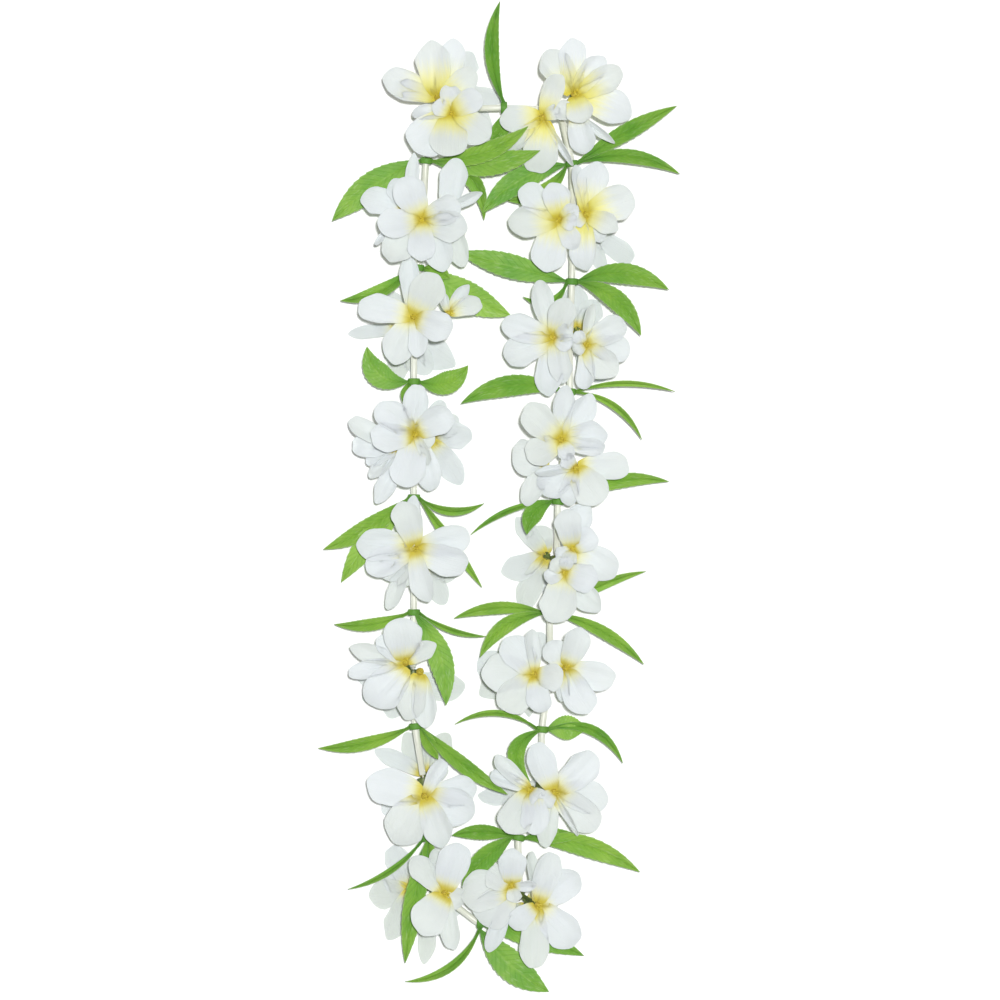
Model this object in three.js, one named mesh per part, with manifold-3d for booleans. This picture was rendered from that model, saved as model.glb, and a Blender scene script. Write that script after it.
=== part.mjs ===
// A flower lei, laid out flat as a long loop: sixteen clusters of three white fabric flowers on a cord,
// with a milky spacer tube and a whorl of green fabric leaves between each cluster and the next.
// Millimetres, +Z up. The loop's long way runs along Y, and the surface that it lies on is z = 0.
import * as THREE from 'three';
import { mergeVertices } from 'three/addons/utils/BufferGeometryUtils.js';
import Module from 'manifold-3d';

const wasm = await Module();
wasm.setup();

// Cord and spacer tubes
const CORD_Z = 13;
const CORD_RADIUS = 0.5;
const CORD_SIDES = 5;
const TUBE_OUTER_RADIUS = 1.6;
const TUBE_INNER_RADIUS = 0.95;
const TUBE_SIDES = 6;
const TUBE_END_GAP = 1.2;

// Hubs: the green moulded piece on the cord that carries three flowers
const HUB_RADIUS = 3;
const HUB_BORE_RADIUS = 1;
const HUB_LENGTH = 6;
const PRONG_RADIUS = 0.9;
const PRONG_SIDES = 5;
const PRONG_START = 2;
const EYE_RADIUS = 2.2;
const EYE_HEIGHT = 1.6;

// Flowers: each is one stamped sheet, with its petals round a small middle. A petal lies in its own
// sector between its neighbours, and SECTOR_SHARE of that is the most that it fills.
const SHEET_THICKNESS = 0.62;
const MOST_SHEET_HEIGHT = 1.3;
const PETAL_LENGTH = 29;
const MIDDLE_RADIUS = 3.4;
const WIDE_GAP = 120;
const SECTOR_SHARE = 0.94;
const FRONT_EYE_Z = 20;
const BACK_EYE_Z = 6.5;
const FRONT_FLOOR_Z = 17.6;
const BACK_CEILING_Z = 9;
const LOWEST_SHEET_Z = 0.35;
const RISE_SHARE = 0.7;
const RISE_CURVE = 0.8;
const MOST_RISE = 12;
const FRONT_BULGE = 2.2;
const FRONT_CUP = 1.6;
const BACK_LANDING = 0.55;
const BACK_STEP = 1.5;

// Leaf whorls
const COLLAR_INNER_RADIUS = 1.95;
const COLLAR_OUTER_RADIUS = 3.1;
const COLLAR_LENGTH = 3.2;
const LEAF_SEAT = 2.3;
const LEAF_TOP_SHARE = 0.35;

// The hubs' places along the loop, down the left strand and up the right one: [x, y]
const HUBS = {
  left_1: [-33, 194], left_2: [-38.5, 141], left_3: [-43, 89], left_4: [-43, 31],
  left_5: [-43, -25], left_6: [-43.5, -89], left_7: [-38, -143], left_8: [-33, -196],
  right_8: [10, -198], right_7: [21, -145], right_6: [25, -87], right_5: [28.5, -32],
  right_4: [32, 24], right_3: [35, 79], right_2: [36.5, 140], right_1: [30, 194],
};
const HUB_NAMES = Object.keys(HUBS);

// The flowers of each cluster. eye: [x, y] of the flower's centre. side: 'front' flowers open upwards
// over the leaves, 'back' ones lie under them. Each petal is [across, along] from the eye to its tip, then
// its width, its roll in degrees about its own length, and its tip's height over the eye where it isn't
// free.
const FLOWERS = {
  left_1: [
    { side: 'front', eye: [-31, 199.5], petals: [
      [-27, 11.5, 14], [-23.5, 4.5, 11, 0, 1], [-3.5, 28.5, 17], [9, 29.5, 15], [19, 13, 13, 0, 8]] },
    { side: 'front', eye: [-24.5, 192], petals: [
      [-19.5, -0.5, 10, 35, 4], [-19.5, -18, 20], [-2, -22, 20], [19, -13.5, 17], [15.5, 8, 12],
      [-1, 14, 10, 0, 6], [-9, 4, 9, 0, 6]] },
    { side: 'back', eye: [-22, 205], petals: [
      [7, 19, 13], [24, -5.5, 9], [-14, 15, 13], [-14, -8, 14], [17, -24, 13]] },
  ],
  left_2: [
    { side: 'front', eye: [-39, 139], petals: [
      [-9.5, 20.5, 17], [-22, -3, 15], [-18, -20, 16], [11.5, -26, 15], [22.5, -5, 15], [19, 7, 14],
      [1, -21, 14]] },
    { side: 'front', eye: [-27, 143], petals: [
      [6, 26.5, 14, 0, 1], [18, 9, 7, 25, 2], [9, -28, 12, 0, -2]] },
    { side: 'front', eye: [-47, 144], petals: [
      [-22.5, 6, 14, 0, 1], [4.5, 28, 7, 0, 0], [-15.5, -18, 6, 45, 1], [-6, 15, 12, 0, 1]] },
  ],
  left_3: [
    { side: 'front', eye: [-43, 90], petals: [
      [-3, 31, 10, 0, 0], [11, 21.5, 17], [-28, 5, 15], [-11, -23, 16, 0, 0], [2, -20, 10, 0, 7],
      [19, -7, 15]] },
    { side: 'front', eye: [-26, 92], petals: [
      [10.5, 14, 6, 0, 2], [17, 5, 10, 0, 2], [-2, 10, 6, 30, 3]] },
    { side: 'back', eye: [-50, 84], petals: [
      [-26, -2, 8, 25], [-8, 20, 13], [27, -18, 15], [15, -22, 15], [0, -26, 11]] },
  ],
  left_4: [
    { side: 'front', eye: [-42.5, 31.5], petals: [
      [1.5, 25, 13], [-19.5, 14, 15], [-22, -1, 15], [-6.5, -26, 17], [7, -15, 7, 30, 6],
      [9, -28, 13, 0, 0], [19, 10, 14], [10, -3, 10, 0, 3]] },
    { side: 'back', eye: [-34.5, 29], petals: [
      [21, 2.5, 13], [15, -22.5, 12], [5.5, 20, 10], [13, 12, 11]] },
    { side: 'front', eye: [-50, 25], petals: [
      [-25, 14, 11, 20, -1], [-24, 1, 12, 0, -2], [-17, -8, 9, 0, -2], [-15.5, -15, 8, 20, -2],
      [-11.5, -28, 10, 0, -2]] },
  ],
  left_5: [
    { side: 'front', eye: [-42.5, -25.5], petals: [
      [-7.5, 23, 14], [-29, 1.5, 16, 0, 1], [-24.5, -10.5, 15, 0, 2], [6.5, -26.5, 11],
      [26.5, -8.5, 15], [27.5, 6.5, 16]] },
    { side: 'back', eye: [-37, -31], petals: [
      [9, -23, 11], [18, 8, 12], [16, -8, 12], [4, 12, 12]] },
    { side: 'front', eye: [-46, -29], petals: [
      [3, 30, 8, 0, 0], [-10, -27, 8, 0, -1], [-14, -10, 13, 0, 0], [-5, -16, 13, 0, 1]] },
  ],
  left_6: [
    { side: 'front', eye: [-47, -82.5], petals: [
      [-3.5, 22.5, 19], [-14, 13, 12, 0, 3], [-28, 7.5, 9, 0, 2], [-29, -5.5, 9, 0, 2],
      [-18.5, -20.5, 20, 0, 3], [15, 9.5, 10, 0, 6]] },
    { side: 'front', eye: [-40, -87], petals: [
      [3, -28, 13, 0, 1], [-6, -24, 14, 0, 3]] },
    { side: 'back', eye: [-49, -91], petals: [
      [-24, 3, 14], [-20, -10, 14], [-6, -20, 14], [31.5, -4.5, 15], [2, 18, 12]] },
  ],
  left_7: [
    { side: 'front', eye: [-37.5, -149], petals: [
      [25.5, 5, 15, 0, 1], [24.5, -9, 18, 0, 4], [9.5, -25.5, 15], [-14.5, -24, 20, 0, 2],
      [-29, 6.5, 18, 0, 1], [10, 18, 10, 30, 6]] },
    { side: 'back', eye: [-38, -139], petals: [
      [-9, 21, 12], [1, 22, 9], [-25, 12, 9], [12, 21, 12], [12, 2, 10]] },
    { side: 'back', eye: [-44, -148], petals: [
      [-16, 4, 14], [-15, -10, 14], [-6, -20, 14], [10, -20, 14]] },
  ],
  left_8: [
    { side: 'front', eye: [-27.5, -197.5], petals: [
      [8.5, 25, 16], [-17, 17.5, 13, 0, 3], [-12, -20, 18], [4, -28.5, 10, 0, 0], [10, -4, 11, 0, -2],
      [-5.5, 22, 9, 20, 2]] },
    { side: 'back', eye: [-45, -196], petals: [
      [-10, 21, 12], [-20.5, -5, 15], [-11, -26, 13], [-13, 6, 13]] },
    { side: 'back', eye: [-35, -204], petals: [
      [-3, -30, 9], [10, -16, 12], [-12, -12, 12], [16, -3, 12]] },
  ],
  right_8: [
    { side: 'front', eye: [18.5, -203.5], petals: [
      [8.5, 26.5, 14], [21, 15, 15, 0, 1], [20, -19.5, 18, 0, 1], [-1.5, -31.5, 14, 0, 0],
      [-13, -11, 12, 20, 6], [-3, 27, 7, 30, 3]] },
    { side: 'front', eye: [6, -194], petals: [
      [0, 19, 14, 0, 10], [12, 1, 8, 40, 6], [-25, -5, 21, 0, 3], [-12, 8, 14, 0, 4],
      [-16, -18, 19, 0, 2], [-12, -33, 9, 0, -1], [2, -8, 8, 0, 4]] },
    { side: 'back', eye: [14, -204], petals: [
      [15, -2, 12], [8, -24, 14], [-8, -10, 13], [16, 12, 13]] },
  ],
  right_7: [
    { side: 'front', eye: [27, -147], petals: [
      [-9.5, 25, 15], [21, 19, 16], [27, -5, 16, 0, 1], [-5, -28, 10, 0, 0], [22, -18, 17, 0, 3],
      [12, -22, 6, 50, 2], [-6, -6, 9, 0, 5]] },
    { side: 'front', eye: [15.5, -146], petals: [
      [-18, 17, 9, 20, 2], [-20.5, 8, 9, 20, 2], [-12.5, -20.5, 17], [2, -22, 14], [5, -5, 9, 0, 5]] },
    { side: 'back', eye: [13, -149], petals: [
      [-24, -1, 9], [8, -20, 13], [16, 8, 13], [20, -8, 13]] },
  ],
  right_6: [
    { side: 'front', eye: [17.5, -88.5], petals: [
      [-26.5, 1, 18, 0, 2], [-15, 18, 16, 0, 4], [-2, 22.5, 9, 30, 5], [-17, -17, 17, 0, 4],
      [4, -18.5, 12, 0, 8], [14, -2, 13, 0, 9]] },
    { side: 'front', eye: [32.5, -85], petals: [
      [9, 20, 13], [25, -6, 14], [12, -22, 15], [-1, -17, 9, 30, 4], [-8, 13, 13, 0, 4]] },
    { side: 'back', eye: [10, -86], petals: [
      [-22, 2, 16], [-20, -13, 13], [5, -24, 7], [12, 18, 13]] },
  ],
  right_5: [
    { side: 'front', eye: [32, -37], petals: [
      [18, -19.5, 13, 0, 2], [-6, -25.5, 18], [16.5, -5, 14, 0, 8], [-10, -3, 9, 20, 4],
      [1.5, 7.5, 7, 0, 6], [-6, 6, 9, 0, 5]] },
    { side: 'front', eye: [36, -26], petals: [
      [-3, 20, 13], [6.5, 23, 13, 0, 3], [12, 8, 13, 0, 6], [22.5, -12, 16, 0, 2], [-8, -4, 9, 0, 4],
      [-2, -7, 8, 0, 5]] },
    { side: 'back', eye: [23, -29], petals: [
      [-15, 19, 10], [-4, 15, 14], [-22, -9, 13], [-12, -27, 12], [4, -22, 13]] },
  ],
  right_4: [
    { side: 'front', eye: [30.5, 28.5], petals: [
      [-18, 17, 16], [2.5, 27.5, 10], [16, 23, 13, 0, 3], [23, 3, 15, 0, 3], [-17.5, -8, 14, 0, 8],
      [22, -4, 10, 20, 5], [4, -10, 9, 0, 5]] },
    { side: 'front', eye: [37.5, 15], petals: [
      [27, 0.5, 14, 0, 1], [13.5, -17.5, 18, 0, 6], [-4, -19, 10, 0, 4], [-18, -12, 16, 0, 3],
      [-20, -3, 8, 40, 6], [-6, 6, 8, 0, 5]] },
    { side: 'front', eye: [23, 21], petals: [
      [-17, -1, 18, 0, -2], [-11, -25, 11, 0, -2]] },
  ],
  right_3: [
    { side: 'front', eye: [27, 80], petals: [
      [-26, 7.5, 14, 0, 3], [-24.5, -10.5, 15, 0, 2], [-7.5, 28.5, 11, 0, 0], [7, 19, 14],
      [-4, -29, 14, 0, 0], [5, -23, 12, 0, 5], [9, -4, 9, 0, 5], [9, 4, 9, 0, 6]] },
    { side: 'front', eye: [42.5, 76.5], petals: [
      [20, 11, 13, 0, 5], [22.5, -3.5, 14, 0, 3], [15.5, -15.5, 15, 0, 5], [-1, -22.5, 10, 20, 2],
      [4, 20, 8, 40, 4], [-6, -3, 8, 0, 4], [-5, 6, 7, 0, 5]] },
    { side: 'back', eye: [39, 84], petals: [
      [-1, 23, 13], [10, 15, 12], [-14, 6, 12], [13, -26, 13]] },
  ],
  right_2: [
    { side: 'front', eye: [30, 139], petals: [
      [-19.5, 16, 14, 0, 4], [-4, 18, 14, 0, 7], [-26, -2, 15, 0, 3], [-8, -26, 17, 0, 2],
      [9, 6, 10, 20, 6], [8, -15, 11, 10, 5], [8, -3, 9, 0, 5]] },
    { side: 'front', eye: [42.5, 141], petals: [
      [7.5, 26.5, 15, 0, 2], [-4.5, 25, 9, 30, 2], [24.5, 9, 18, 0, 4], [16.5, -7, 11, 0, 6],
      [-0.5, -27.5, 13, 0, 1], [9, -13, 8, 0, -2], [-6, -4, 8, 0, 4]] },
    { side: 'back', eye: [44, 136], petals: [
      [23, -17, 11], [9, -25, 7], [15, 4, 13], [-8, 14, 12]] },
  ],
  right_1: [
    { side: 'front', eye: [37, 201], petals: [
      [0, 28, 14], [-14, 22, 16, 0, 5], [15, 19, 12, 0, 4], [24, 12.5, 14, 0, 4],
      [28.5, -10, 17, 0, 1], [4, -14, 14, 0, 9]] },
    { side: 'front', eye: [21.5, 190], petals: [
      [8.5, 21, 12, 10, 9], [-21.5, -2, 14, 0, -2], [-19, -18, 8, 0, -2], [-3.5, -28, 17, 0, -2],
      [15, -24.5, 6, 50, 0], [9, 3, 8, 0, 4]] },
    { side: 'front', eye: [38, 192], petals: [
      [5, -20, 13, 0, 0], [19, -15, 6, 40, 1], [-11, 2, 10, 0, 3]] },
  ],
};

// The leaf whorls, each named for the cluster that it follows down the left strand and up the right one.
// at: [x, y] on the tube. Each leaf: tip [x, y, z], width, bow (how far its middle is pushed to its left),
// arch (how far its middle is lifted) and roll in degrees.
const WHORLS = {
  left_1: { at: [-37, 168.5], leaves: [
    { tip: [-84, 138.5, 10], width: 15, bow: -3, arch: 2 },
    { tip: [14, 185, 28], width: 10, bow: -5, arch: -2 },
    { tip: [20, 173, 27], width: 13, bow: -4, arch: -2 },
    { tip: [-8, 139, 9], width: 9, bow: 9, arch: 1, roll: 25 }] },
  left_2: { at: [-41, 115], leaves: [
    { tip: [-80, 98.5, 10], width: 8, bow: 4, arch: 3, roll: 25 },
    { tip: [5.5, 91, 12], width: 16, bow: -2, arch: 0 },
    { tip: [-25, 109.5, 16], width: 8, bow: 1, arch: 1, roll: 10 }] },
  left_3: { at: [-43, 58], leaves: [
    { tip: [-66.5, 75.5, 14], width: 13, bow: 7, arch: 1 },
    { tip: [-16, 66, 14], width: 12, bow: -5, arch: 1 },
    { tip: [-48, 46.5, 15], width: 6, bow: 0, arch: 1 }] },
  left_4: { at: [-43, 0], leaves: [
    { tip: [-8, -3, 12], width: 5, bow: -5.5, arch: 3, roll: 25 },
    { tip: [-88.5, -26, 9], width: 10, bow: 2.5, arch: 2 },
    { tip: [-79.5, -42.5, 8], width: 13, bow: -2, arch: 2 },
    { tip: [-9, -45, 8], width: 6, bow: 0, arch: 0, roll: 25 }] },
  left_5: { at: [-43, -57.5], leaves: [
    { tip: [-83, -63.5, 10], width: 6.5, bow: 3, arch: 3 },
    { tip: [-7, -69.5, 12], width: 3.5, bow: -3, arch: 2, roll: 25 },
    { tip: [-27, -104, 16.2], width: 13, bow: 5, arch: 3 }] },
  left_6: { at: [-42.5, -114.5], leaves: [
    { tip: [-91, -125.5, 10], width: 7, bow: 3, arch: 3 },
    { tip: [4, -148.5, 16], width: 8, bow: -2, arch: 3 },
    { tip: [-31, -131, 14], width: 7, bow: 0, arch: 0 }] },
  left_7: { at: [-36, -170.5], leaves: [
    { tip: [-76, -196, 12], width: 3.5, bow: 4, arch: 2, roll: 25 },
    { tip: [-47.5, -233, 12], width: 11, bow: -1, arch: 1 },
    { tip: [-35, -184, 15], width: 7, bow: 0, arch: 0 }] },
  left_8: { at: [-10, -213.5], leaves: [
    { tip: [-47.5, -242.5, 8], width: 5, bow: 7, arch: 2, roll: 25 },
    { tip: [24.5, -247.5, 8], width: 16, bow: -3, arch: 1 },
    { tip: [42, -229.5, 8], width: 12, bow: 2, arch: 1 }] },
  right_8: { at: [9, -170], leaves: [
    { tip: [-24, -169, 14], width: 8, bow: -2, arch: 1 },
    { tip: [-19, -194, 16.5], width: 11, bow: -2, arch: 3 },
    { tip: [70, -187.5, 10], width: 11, bow: 5, arch: 2 },
    { tip: [40, -170, 12], width: 8, bow: 1, arch: 1 }] },
  right_7: { at: [21, -116], leaves: [
    { tip: [-22.5, -113.5, 11.5], width: 3.5, bow: -7, arch: 3, roll: 25 },
    { tip: [61.5, -133, 10], width: 5.5, bow: 9, arch: 2 },
    { tip: [43, -116, 11], width: 13, bow: 1, arch: 2 },
    { tip: [15, -142, 15.5], width: 9, bow: -10, arch: 0 }] },
  right_6: { at: [25, -58], leaves: [
    { tip: [-23, -60.5, 10.5], width: 6.5, bow: -4, arch: 2 },
    { tip: [-10, -80, 14], width: 8, bow: -6, arch: 2 },
    { tip: [72, -83.5, 10], width: 6.5, bow: 4, arch: 2 },
    { tip: [73, -37, 10], width: 6, bow: 3, arch: 2, roll: 30 }] },
  right_5: { at: [29, -2], leaves: [
    { tip: [-14.5, -18.5, 11], width: 3.5, bow: -4, arch: 2, roll: 25 },
    { tip: [13.5, -18.5, 15.5], width: 10, bow: -4, arch: 1 },
    { tip: [84.5, 8, 10], width: 8, bow: 5, arch: 0 }] },
  right_4: { at: [35, 53], leaves: [
    { tip: [-19.5, 47, 12], width: 11, bow: -6, arch: 1 },
    { tip: [87.5, 53, 12], width: 3.5, bow: 4, arch: 3, roll: 30 },
    { tip: [71, 29, 10], width: 4, bow: 5.5, arch: 2, roll: 25 }] },
  right_3: { at: [36, 108], leaves: [
    { tip: [-21.5, 123, 12], width: 13, bow: 0, arch: 1 },
    { tip: [84.5, 104, 10], width: 11, bow: 6, arch: 2 },
    { tip: [70.5, 81, 14], width: 10.5, bow: 5.5, arch: 3 },
    { tip: [11.5, 100.5, 9], width: 5, bow: 7, arch: 0, roll: 20 }] },
  right_2: { at: [36, 167], leaves: [
    { tip: [88.5, 196, 10], width: 9, bow: 1, arch: 2 },
    { tip: [90, 162, 8], width: 7.5, bow: 6, arch: 2 },
    { tip: [-9, 142, 15.5], width: 13, bow: -5, arch: 1 },
    { tip: [3, 149, 9], width: 8, bow: 6, arch: 0 }] },
  right_1: { at: [2, 195], leaves: [
    { tip: [0, 248, 16], width: 7.5, bow: 5, arch: 3 },
    { tip: [-5, 177, 10], width: 9, bow: 2, arch: 0 }] },
};

const FLOWER_WHITE = new THREE.MeshStandardMaterial({ color: 0xeef2f0, roughness: 0.75, metalness: 0 });
const LEAF_GREEN = new THREE.MeshStandardMaterial({ color: 0x74b82f, roughness: 0.6, metalness: 0 });
const TUBE_MILKY = new THREE.MeshStandardMaterial({ color: 0xdcdccb, roughness: 0.35, metalness: 0 });
const CORD_CREAM = new THREE.MeshStandardMaterial({ color: 0xe8e6da, roughness: 0.8, metalness: 0 });

// A closed geometry's shared corners, merged, as a solid that can be joined and cut.
const MERGE_DISTANCE = 1e-4;

function solidOf(geometry) {
  const bare = geometry.clone();
  bare.deleteAttribute('normal');
  bare.deleteAttribute('uv');
  const merged = mergeVertices(bare, MERGE_DISTANCE);
  return new wasm.Manifold(new wasm.Mesh({
    numProp: 3,
    vertProperties: new Float32Array(merged.attributes.position.array),
    triVerts: new Uint32Array(merged.index.array),
  }));
}

function geometryOf(solid) {
  const mesh = solid.getMesh();
  const geometry = new THREE.BufferGeometry();
  geometry.setAttribute('position', new THREE.BufferAttribute(new Float32Array(mesh.vertProperties), 3));
  geometry.setIndex(new THREE.BufferAttribute(new Uint32Array(mesh.triVerts), 1));
  const flat = geometry.toNonIndexed();
  flat.computeVertexNormals();
  return flat;
}

function joined(solids) {
  return solids.reduce((whole, piece) => whole.add(piece));
}

// A sheet's middle surface is a list of points and triangles, with its rim's points in order. Its two
// faces stand straight above and below it, so that it is no thinner than it should be where it is
// steepest. A corner that comes down to the surface below is set flat on it.
function sheet(points, triangles, rim) {
  const levels = triangles.map(([a, b, c]) => {
    const ab = points[b].clone().sub(points[a]);
    const ac = points[c].clone().sub(points[a]);
    return Math.abs(ab.cross(ac).normalize().z);
  });
  const height = Math.min(SHEET_THICKNESS / Math.min(...levels), MOST_SHEET_HEIGHT);
  const positions = [];
  for (const way of [1, -1]) {
    for (const point of points) {
      const z = Math.max(point.z, height / 2) + (way * height) / 2;
      positions.push(point.x, point.y, z);
    }
  }
  const count = points.length;
  const index = [];
  for (const [a, b, c] of triangles) {
    index.push(a, b, c);
    index.push(c + count, b + count, a + count);
  }
  rim.forEach((a, i) => {
    const b = rim[(i + 1) % rim.length];
    index.push(b, a, a + count);
    index.push(b, a + count, b + count);
  });
  const geometry = new THREE.BufferGeometry();
  geometry.setAttribute('position', new THREE.BufferAttribute(new Float32Array(positions), 3));
  geometry.setIndex(index);
  return solidOf(geometry);
}

// A parabola that is 0 at both ends and 1 in the middle.
function swell(s) {
  return 4 * s * (1 - s);
}

// What a petal loses of its length in the plan goes into its height.
function riseFor(reach) {
  const lost = Math.sqrt(Math.max(PETAL_LENGTH ** 2 - reach ** 2, 0));
  return Math.min(lost * RISE_SHARE, MOST_RISE);
}

// A petal's outline: [how far along, share of the half width] at its widest place and at the corner of
// its round end, and how far along its own middle point is.
const PETAL_WIDEST = [0.64, 0.96];
const PETAL_END = [0.97, 0.42];
const PETAL_MIDDLE = 0.6;

function eyeOf(flower) {
  return new THREE.Vector3(...flower.eye, flower.side === 'front' ? FRONT_EYE_Z : BACK_EYE_Z);
}

// Each flower with the least height of its petals. The first back flower's petals lie on the surface,
// and a second one's lie a little above them.
function settled(flowers) {
  const backs = flowers.filter((flower) => flower.side === 'back');
  return flowers.map((flower) => {
    const below = backs.indexOf(flower);
    return { ...flower, floor: below < 0 ? FRONT_FLOOR_Z : LOWEST_SHEET_Z + below * BACK_STEP };
  });
}

// The flower's petals in their turn round the eye, each with its angle and the gap to the next one.
function petalsInTurn(flower) {
  const petals = flower.petals.map(([across, along, width, rollDegrees = 0, ownRise]) => ({
    reach: Math.hypot(across, along),
    turn: Math.atan2(along, across),
    width,
    roll: THREE.MathUtils.degToRad(rollDegrees),
    ownRise,
  })).toSorted((a, b) => a.turn - b.turn);
  petals.forEach((one, k) => {
    const next = petals[(k + 1) % petals.length];
    one.gap = (next.turn - one.turn + 2 * Math.PI) % (2 * Math.PI);
    next.gapBefore = one.gap;
  });
  return petals;
}

// A petal keeps to its own sector between its neighbours, however wide it would be on its own.
function halfWidth(one, s, share) {
  const gap = share < 0 ? one.gapBefore : one.gap;
  const free = (one.width / 2) * Math.abs(share);
  const room = gap < Math.PI ? Math.tan(gap / 2) * one.reach * s * SECTOR_SHARE : free;
  return Math.sign(share) * Math.min(free, room);
}

// One point of a petal: s runs from the eye to the tip, and share from one edge to the other.
function petalPoint(flower, one, s, share) {
  const heading = new THREE.Vector3(Math.cos(one.turn), Math.sin(one.turn), 0);
  const sideways = new THREE.Vector3(-heading.y, heading.x, 0);
  const half = halfWidth(one, s, share);
  const point = eyeOf(flower).addScaledVector(heading, one.reach * s);
  point.addScaledVector(sideways, half * Math.cos(one.roll));
  if (flower.side === 'front') {
    const rise = one.ownRise ?? riseFor(one.reach);
    point.z += rise * s ** RISE_CURVE + FRONT_BULGE * swell(s) + FRONT_CUP * share * share;
  } else {
    point.z = THREE.MathUtils.lerp(point.z, flower.floor, Math.min(s / BACK_LANDING, 1));
  }
  point.z += half * Math.sin(one.roll) * s;
  return point;
}

// The rim's points in the gap after a petal, close by the eye: one, or two where the gap is wide
function gapPoints(flower, one) {
  const count = THREE.MathUtils.radToDeg(one.gap) > WIDE_GAP ? 2 : 1;
  return Array.from({ length: count }, (_, j) => {
    const turn = one.turn + (one.gap * (j + 1)) / (count + 1);
    const heading = new THREE.Vector3(Math.cos(turn), Math.sin(turn), 0);
    return eyeOf(flower).addScaledVector(heading, MIDDLE_RADIUS);
  });
}

function flowerSheet(flower) {
  const front = flower.side === 'front';
  const petals = petalsInTurn(flower);
  const rim = [];
  const inner = [];
  const starts = petals.map((one) => {
    const start = rim.length;
    rim.push(petalPoint(flower, one, PETAL_WIDEST[0], -PETAL_WIDEST[1]));
    rim.push(petalPoint(flower, one, PETAL_END[0], -PETAL_END[1]));
    rim.push(petalPoint(flower, one, PETAL_END[0], PETAL_END[1]));
    rim.push(petalPoint(flower, one, PETAL_WIDEST[0], PETAL_WIDEST[1]));
    for (const point of gapPoints(flower, one)) {
      inner.push(rim.length);
      rim.push(point);
    }
    return start;
  });
  const middles = petals.map((one) => petalPoint(flower, one, PETAL_MIDDLE, 0));
  const triangles = [];
  starts.forEach((start, k) => {
    const loop = [-1, 0, 1, 2, 3, 4].map((step) => (start + step + rim.length) % rim.length);
    loop.forEach((corner, i) => {
      triangles.push([rim.length + k, corner, loop[(i + 1) % loop.length]]);
    });
  });
  for (let i = 1; i < inner.length - 1; i += 1) {
    triangles.push([inner[0], inner[i], inner[i + 1]]);
  }
  const points = [...rim, ...middles];
  for (const point of points) {
    point.z = THREE.MathUtils.clamp(point.z, flower.floor, front ? Infinity : BACK_CEILING_Z);
  }
  return sheet(points, triangles, rim.map((_, i) => i));
}

// A rod of few sides from one point to another.
function rod(from, to, radius, sides, topRadius = radius) {
  const length = from.distanceTo(to);
  const geometry = new THREE.CylinderGeometry(topRadius, radius, length, sides);
  const turn = new THREE.Quaternion().setFromUnitVectors(
    new THREE.Vector3(0, 1, 0), to.clone().sub(from).normalize());
  geometry.applyQuaternion(turn);
  const middle = from.clone().add(to).multiplyScalar(0.5);
  geometry.translate(middle.x, middle.y, middle.z);
  return solidOf(geometry);
}

function routePoint([x, y]) {
  return new THREE.Vector3(x, y, CORD_Z);
}

// A path of straight runs from point to point, with each point at an even share of the way.
const TANGENT_STEP = 0.01;

class Runs extends THREE.Curve {
  constructor(points) {
    super();
    this.points = points;
  }

  getPoint(t, target = new THREE.Vector3()) {
    const runs = this.points.length - 1;
    const run = Math.min(Math.floor(t * runs), runs - 1);
    return target.lerpVectors(this.points[run], this.points[run + 1], t * runs - run);
  }

  getPointAt(t, target) {
    return this.getPoint(t, target);
  }

  getTangentAt(t, target = new THREE.Vector3()) {
    const step = TANGENT_STEP / this.points.length;
    const ahead = this.getPoint(Math.min(t + step, 1));
    return target.copy(ahead).sub(this.getPoint(Math.max(t - step, 0))).normalize();
  }
}

const HUB_POINTS = HUB_NAMES.map((name) => routePoint(HUBS[name]));
const WHORL_POINTS = HUB_NAMES.map((name) => routePoint(WHORLS[name].at));
const COUNT = HUB_NAMES.length;

// The point this far from one place on the way to another.
function towards(from, to, distance) {
  return from.clone().addScaledVector(to.clone().sub(from).normalize(), distance);
}

// A spacer tube's three points: its end at the hub, its middle at the whorl, its end at the next hub
function tubePoints(i) {
  const clear = HUB_RADIUS + TUBE_END_GAP;
  const middle = WHORL_POINTS[i];
  return [
    towards(HUB_POINTS[i], middle, clear), middle,
    towards(HUB_POINTS[(i + 1) % COUNT], middle, clear),
  ];
}

function ringShape(outer, inner, sides) {
  const circle = (radius) => Array.from({ length: sides }, (_, i) => {
    const turn = (i / sides) * Math.PI * 2;
    return new THREE.Vector2(radius * Math.cos(turn), radius * Math.sin(turn));
  });
  const shape = new THREE.Shape(circle(outer));
  if (inner > 0) {
    shape.holes.push(new THREE.Path(circle(inner)));
  }
  return shape;
}

function pipe(points, outer, inner, sides) {
  const shape = ringShape(outer, inner, sides);
  const options = { steps: points.length - 1, extrudePath: new Runs(points) };
  return solidOf(new THREE.ExtrudeGeometry(shape, options));
}

function spacerTube(i) {
  return pipe(tubePoints(i), TUBE_OUTER_RADIUS, TUBE_INNER_RADIUS, TUBE_SIDES);
}

function cluster(name, i) {
  const centre = HUB_POINTS[i];
  const before = towards(centre, WHORL_POINTS[(i + COUNT - 1) % COUNT], HUB_LENGTH / 2);
  const after = towards(centre, WHORL_POINTS[i], HUB_LENGTH / 2);
  const pieces = [pipe([before, centre, after], HUB_RADIUS, HUB_BORE_RADIUS, TUBE_SIDES)];
  for (const flower of settled(FLOWERS[name])) {
    const eye = eyeOf(flower);
    const stem = eye.clone().sub(centre).normalize();
    const start = centre.clone().addScaledVector(stem, PRONG_START);
    const face = eye.clone().addScaledVector(stem, EYE_HEIGHT);
    pieces.push(flowerSheet(flower), rod(start, face, PRONG_RADIUS, PRONG_SIDES, EYE_RADIUS));
  }
  return joined(pieces);
}

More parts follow.
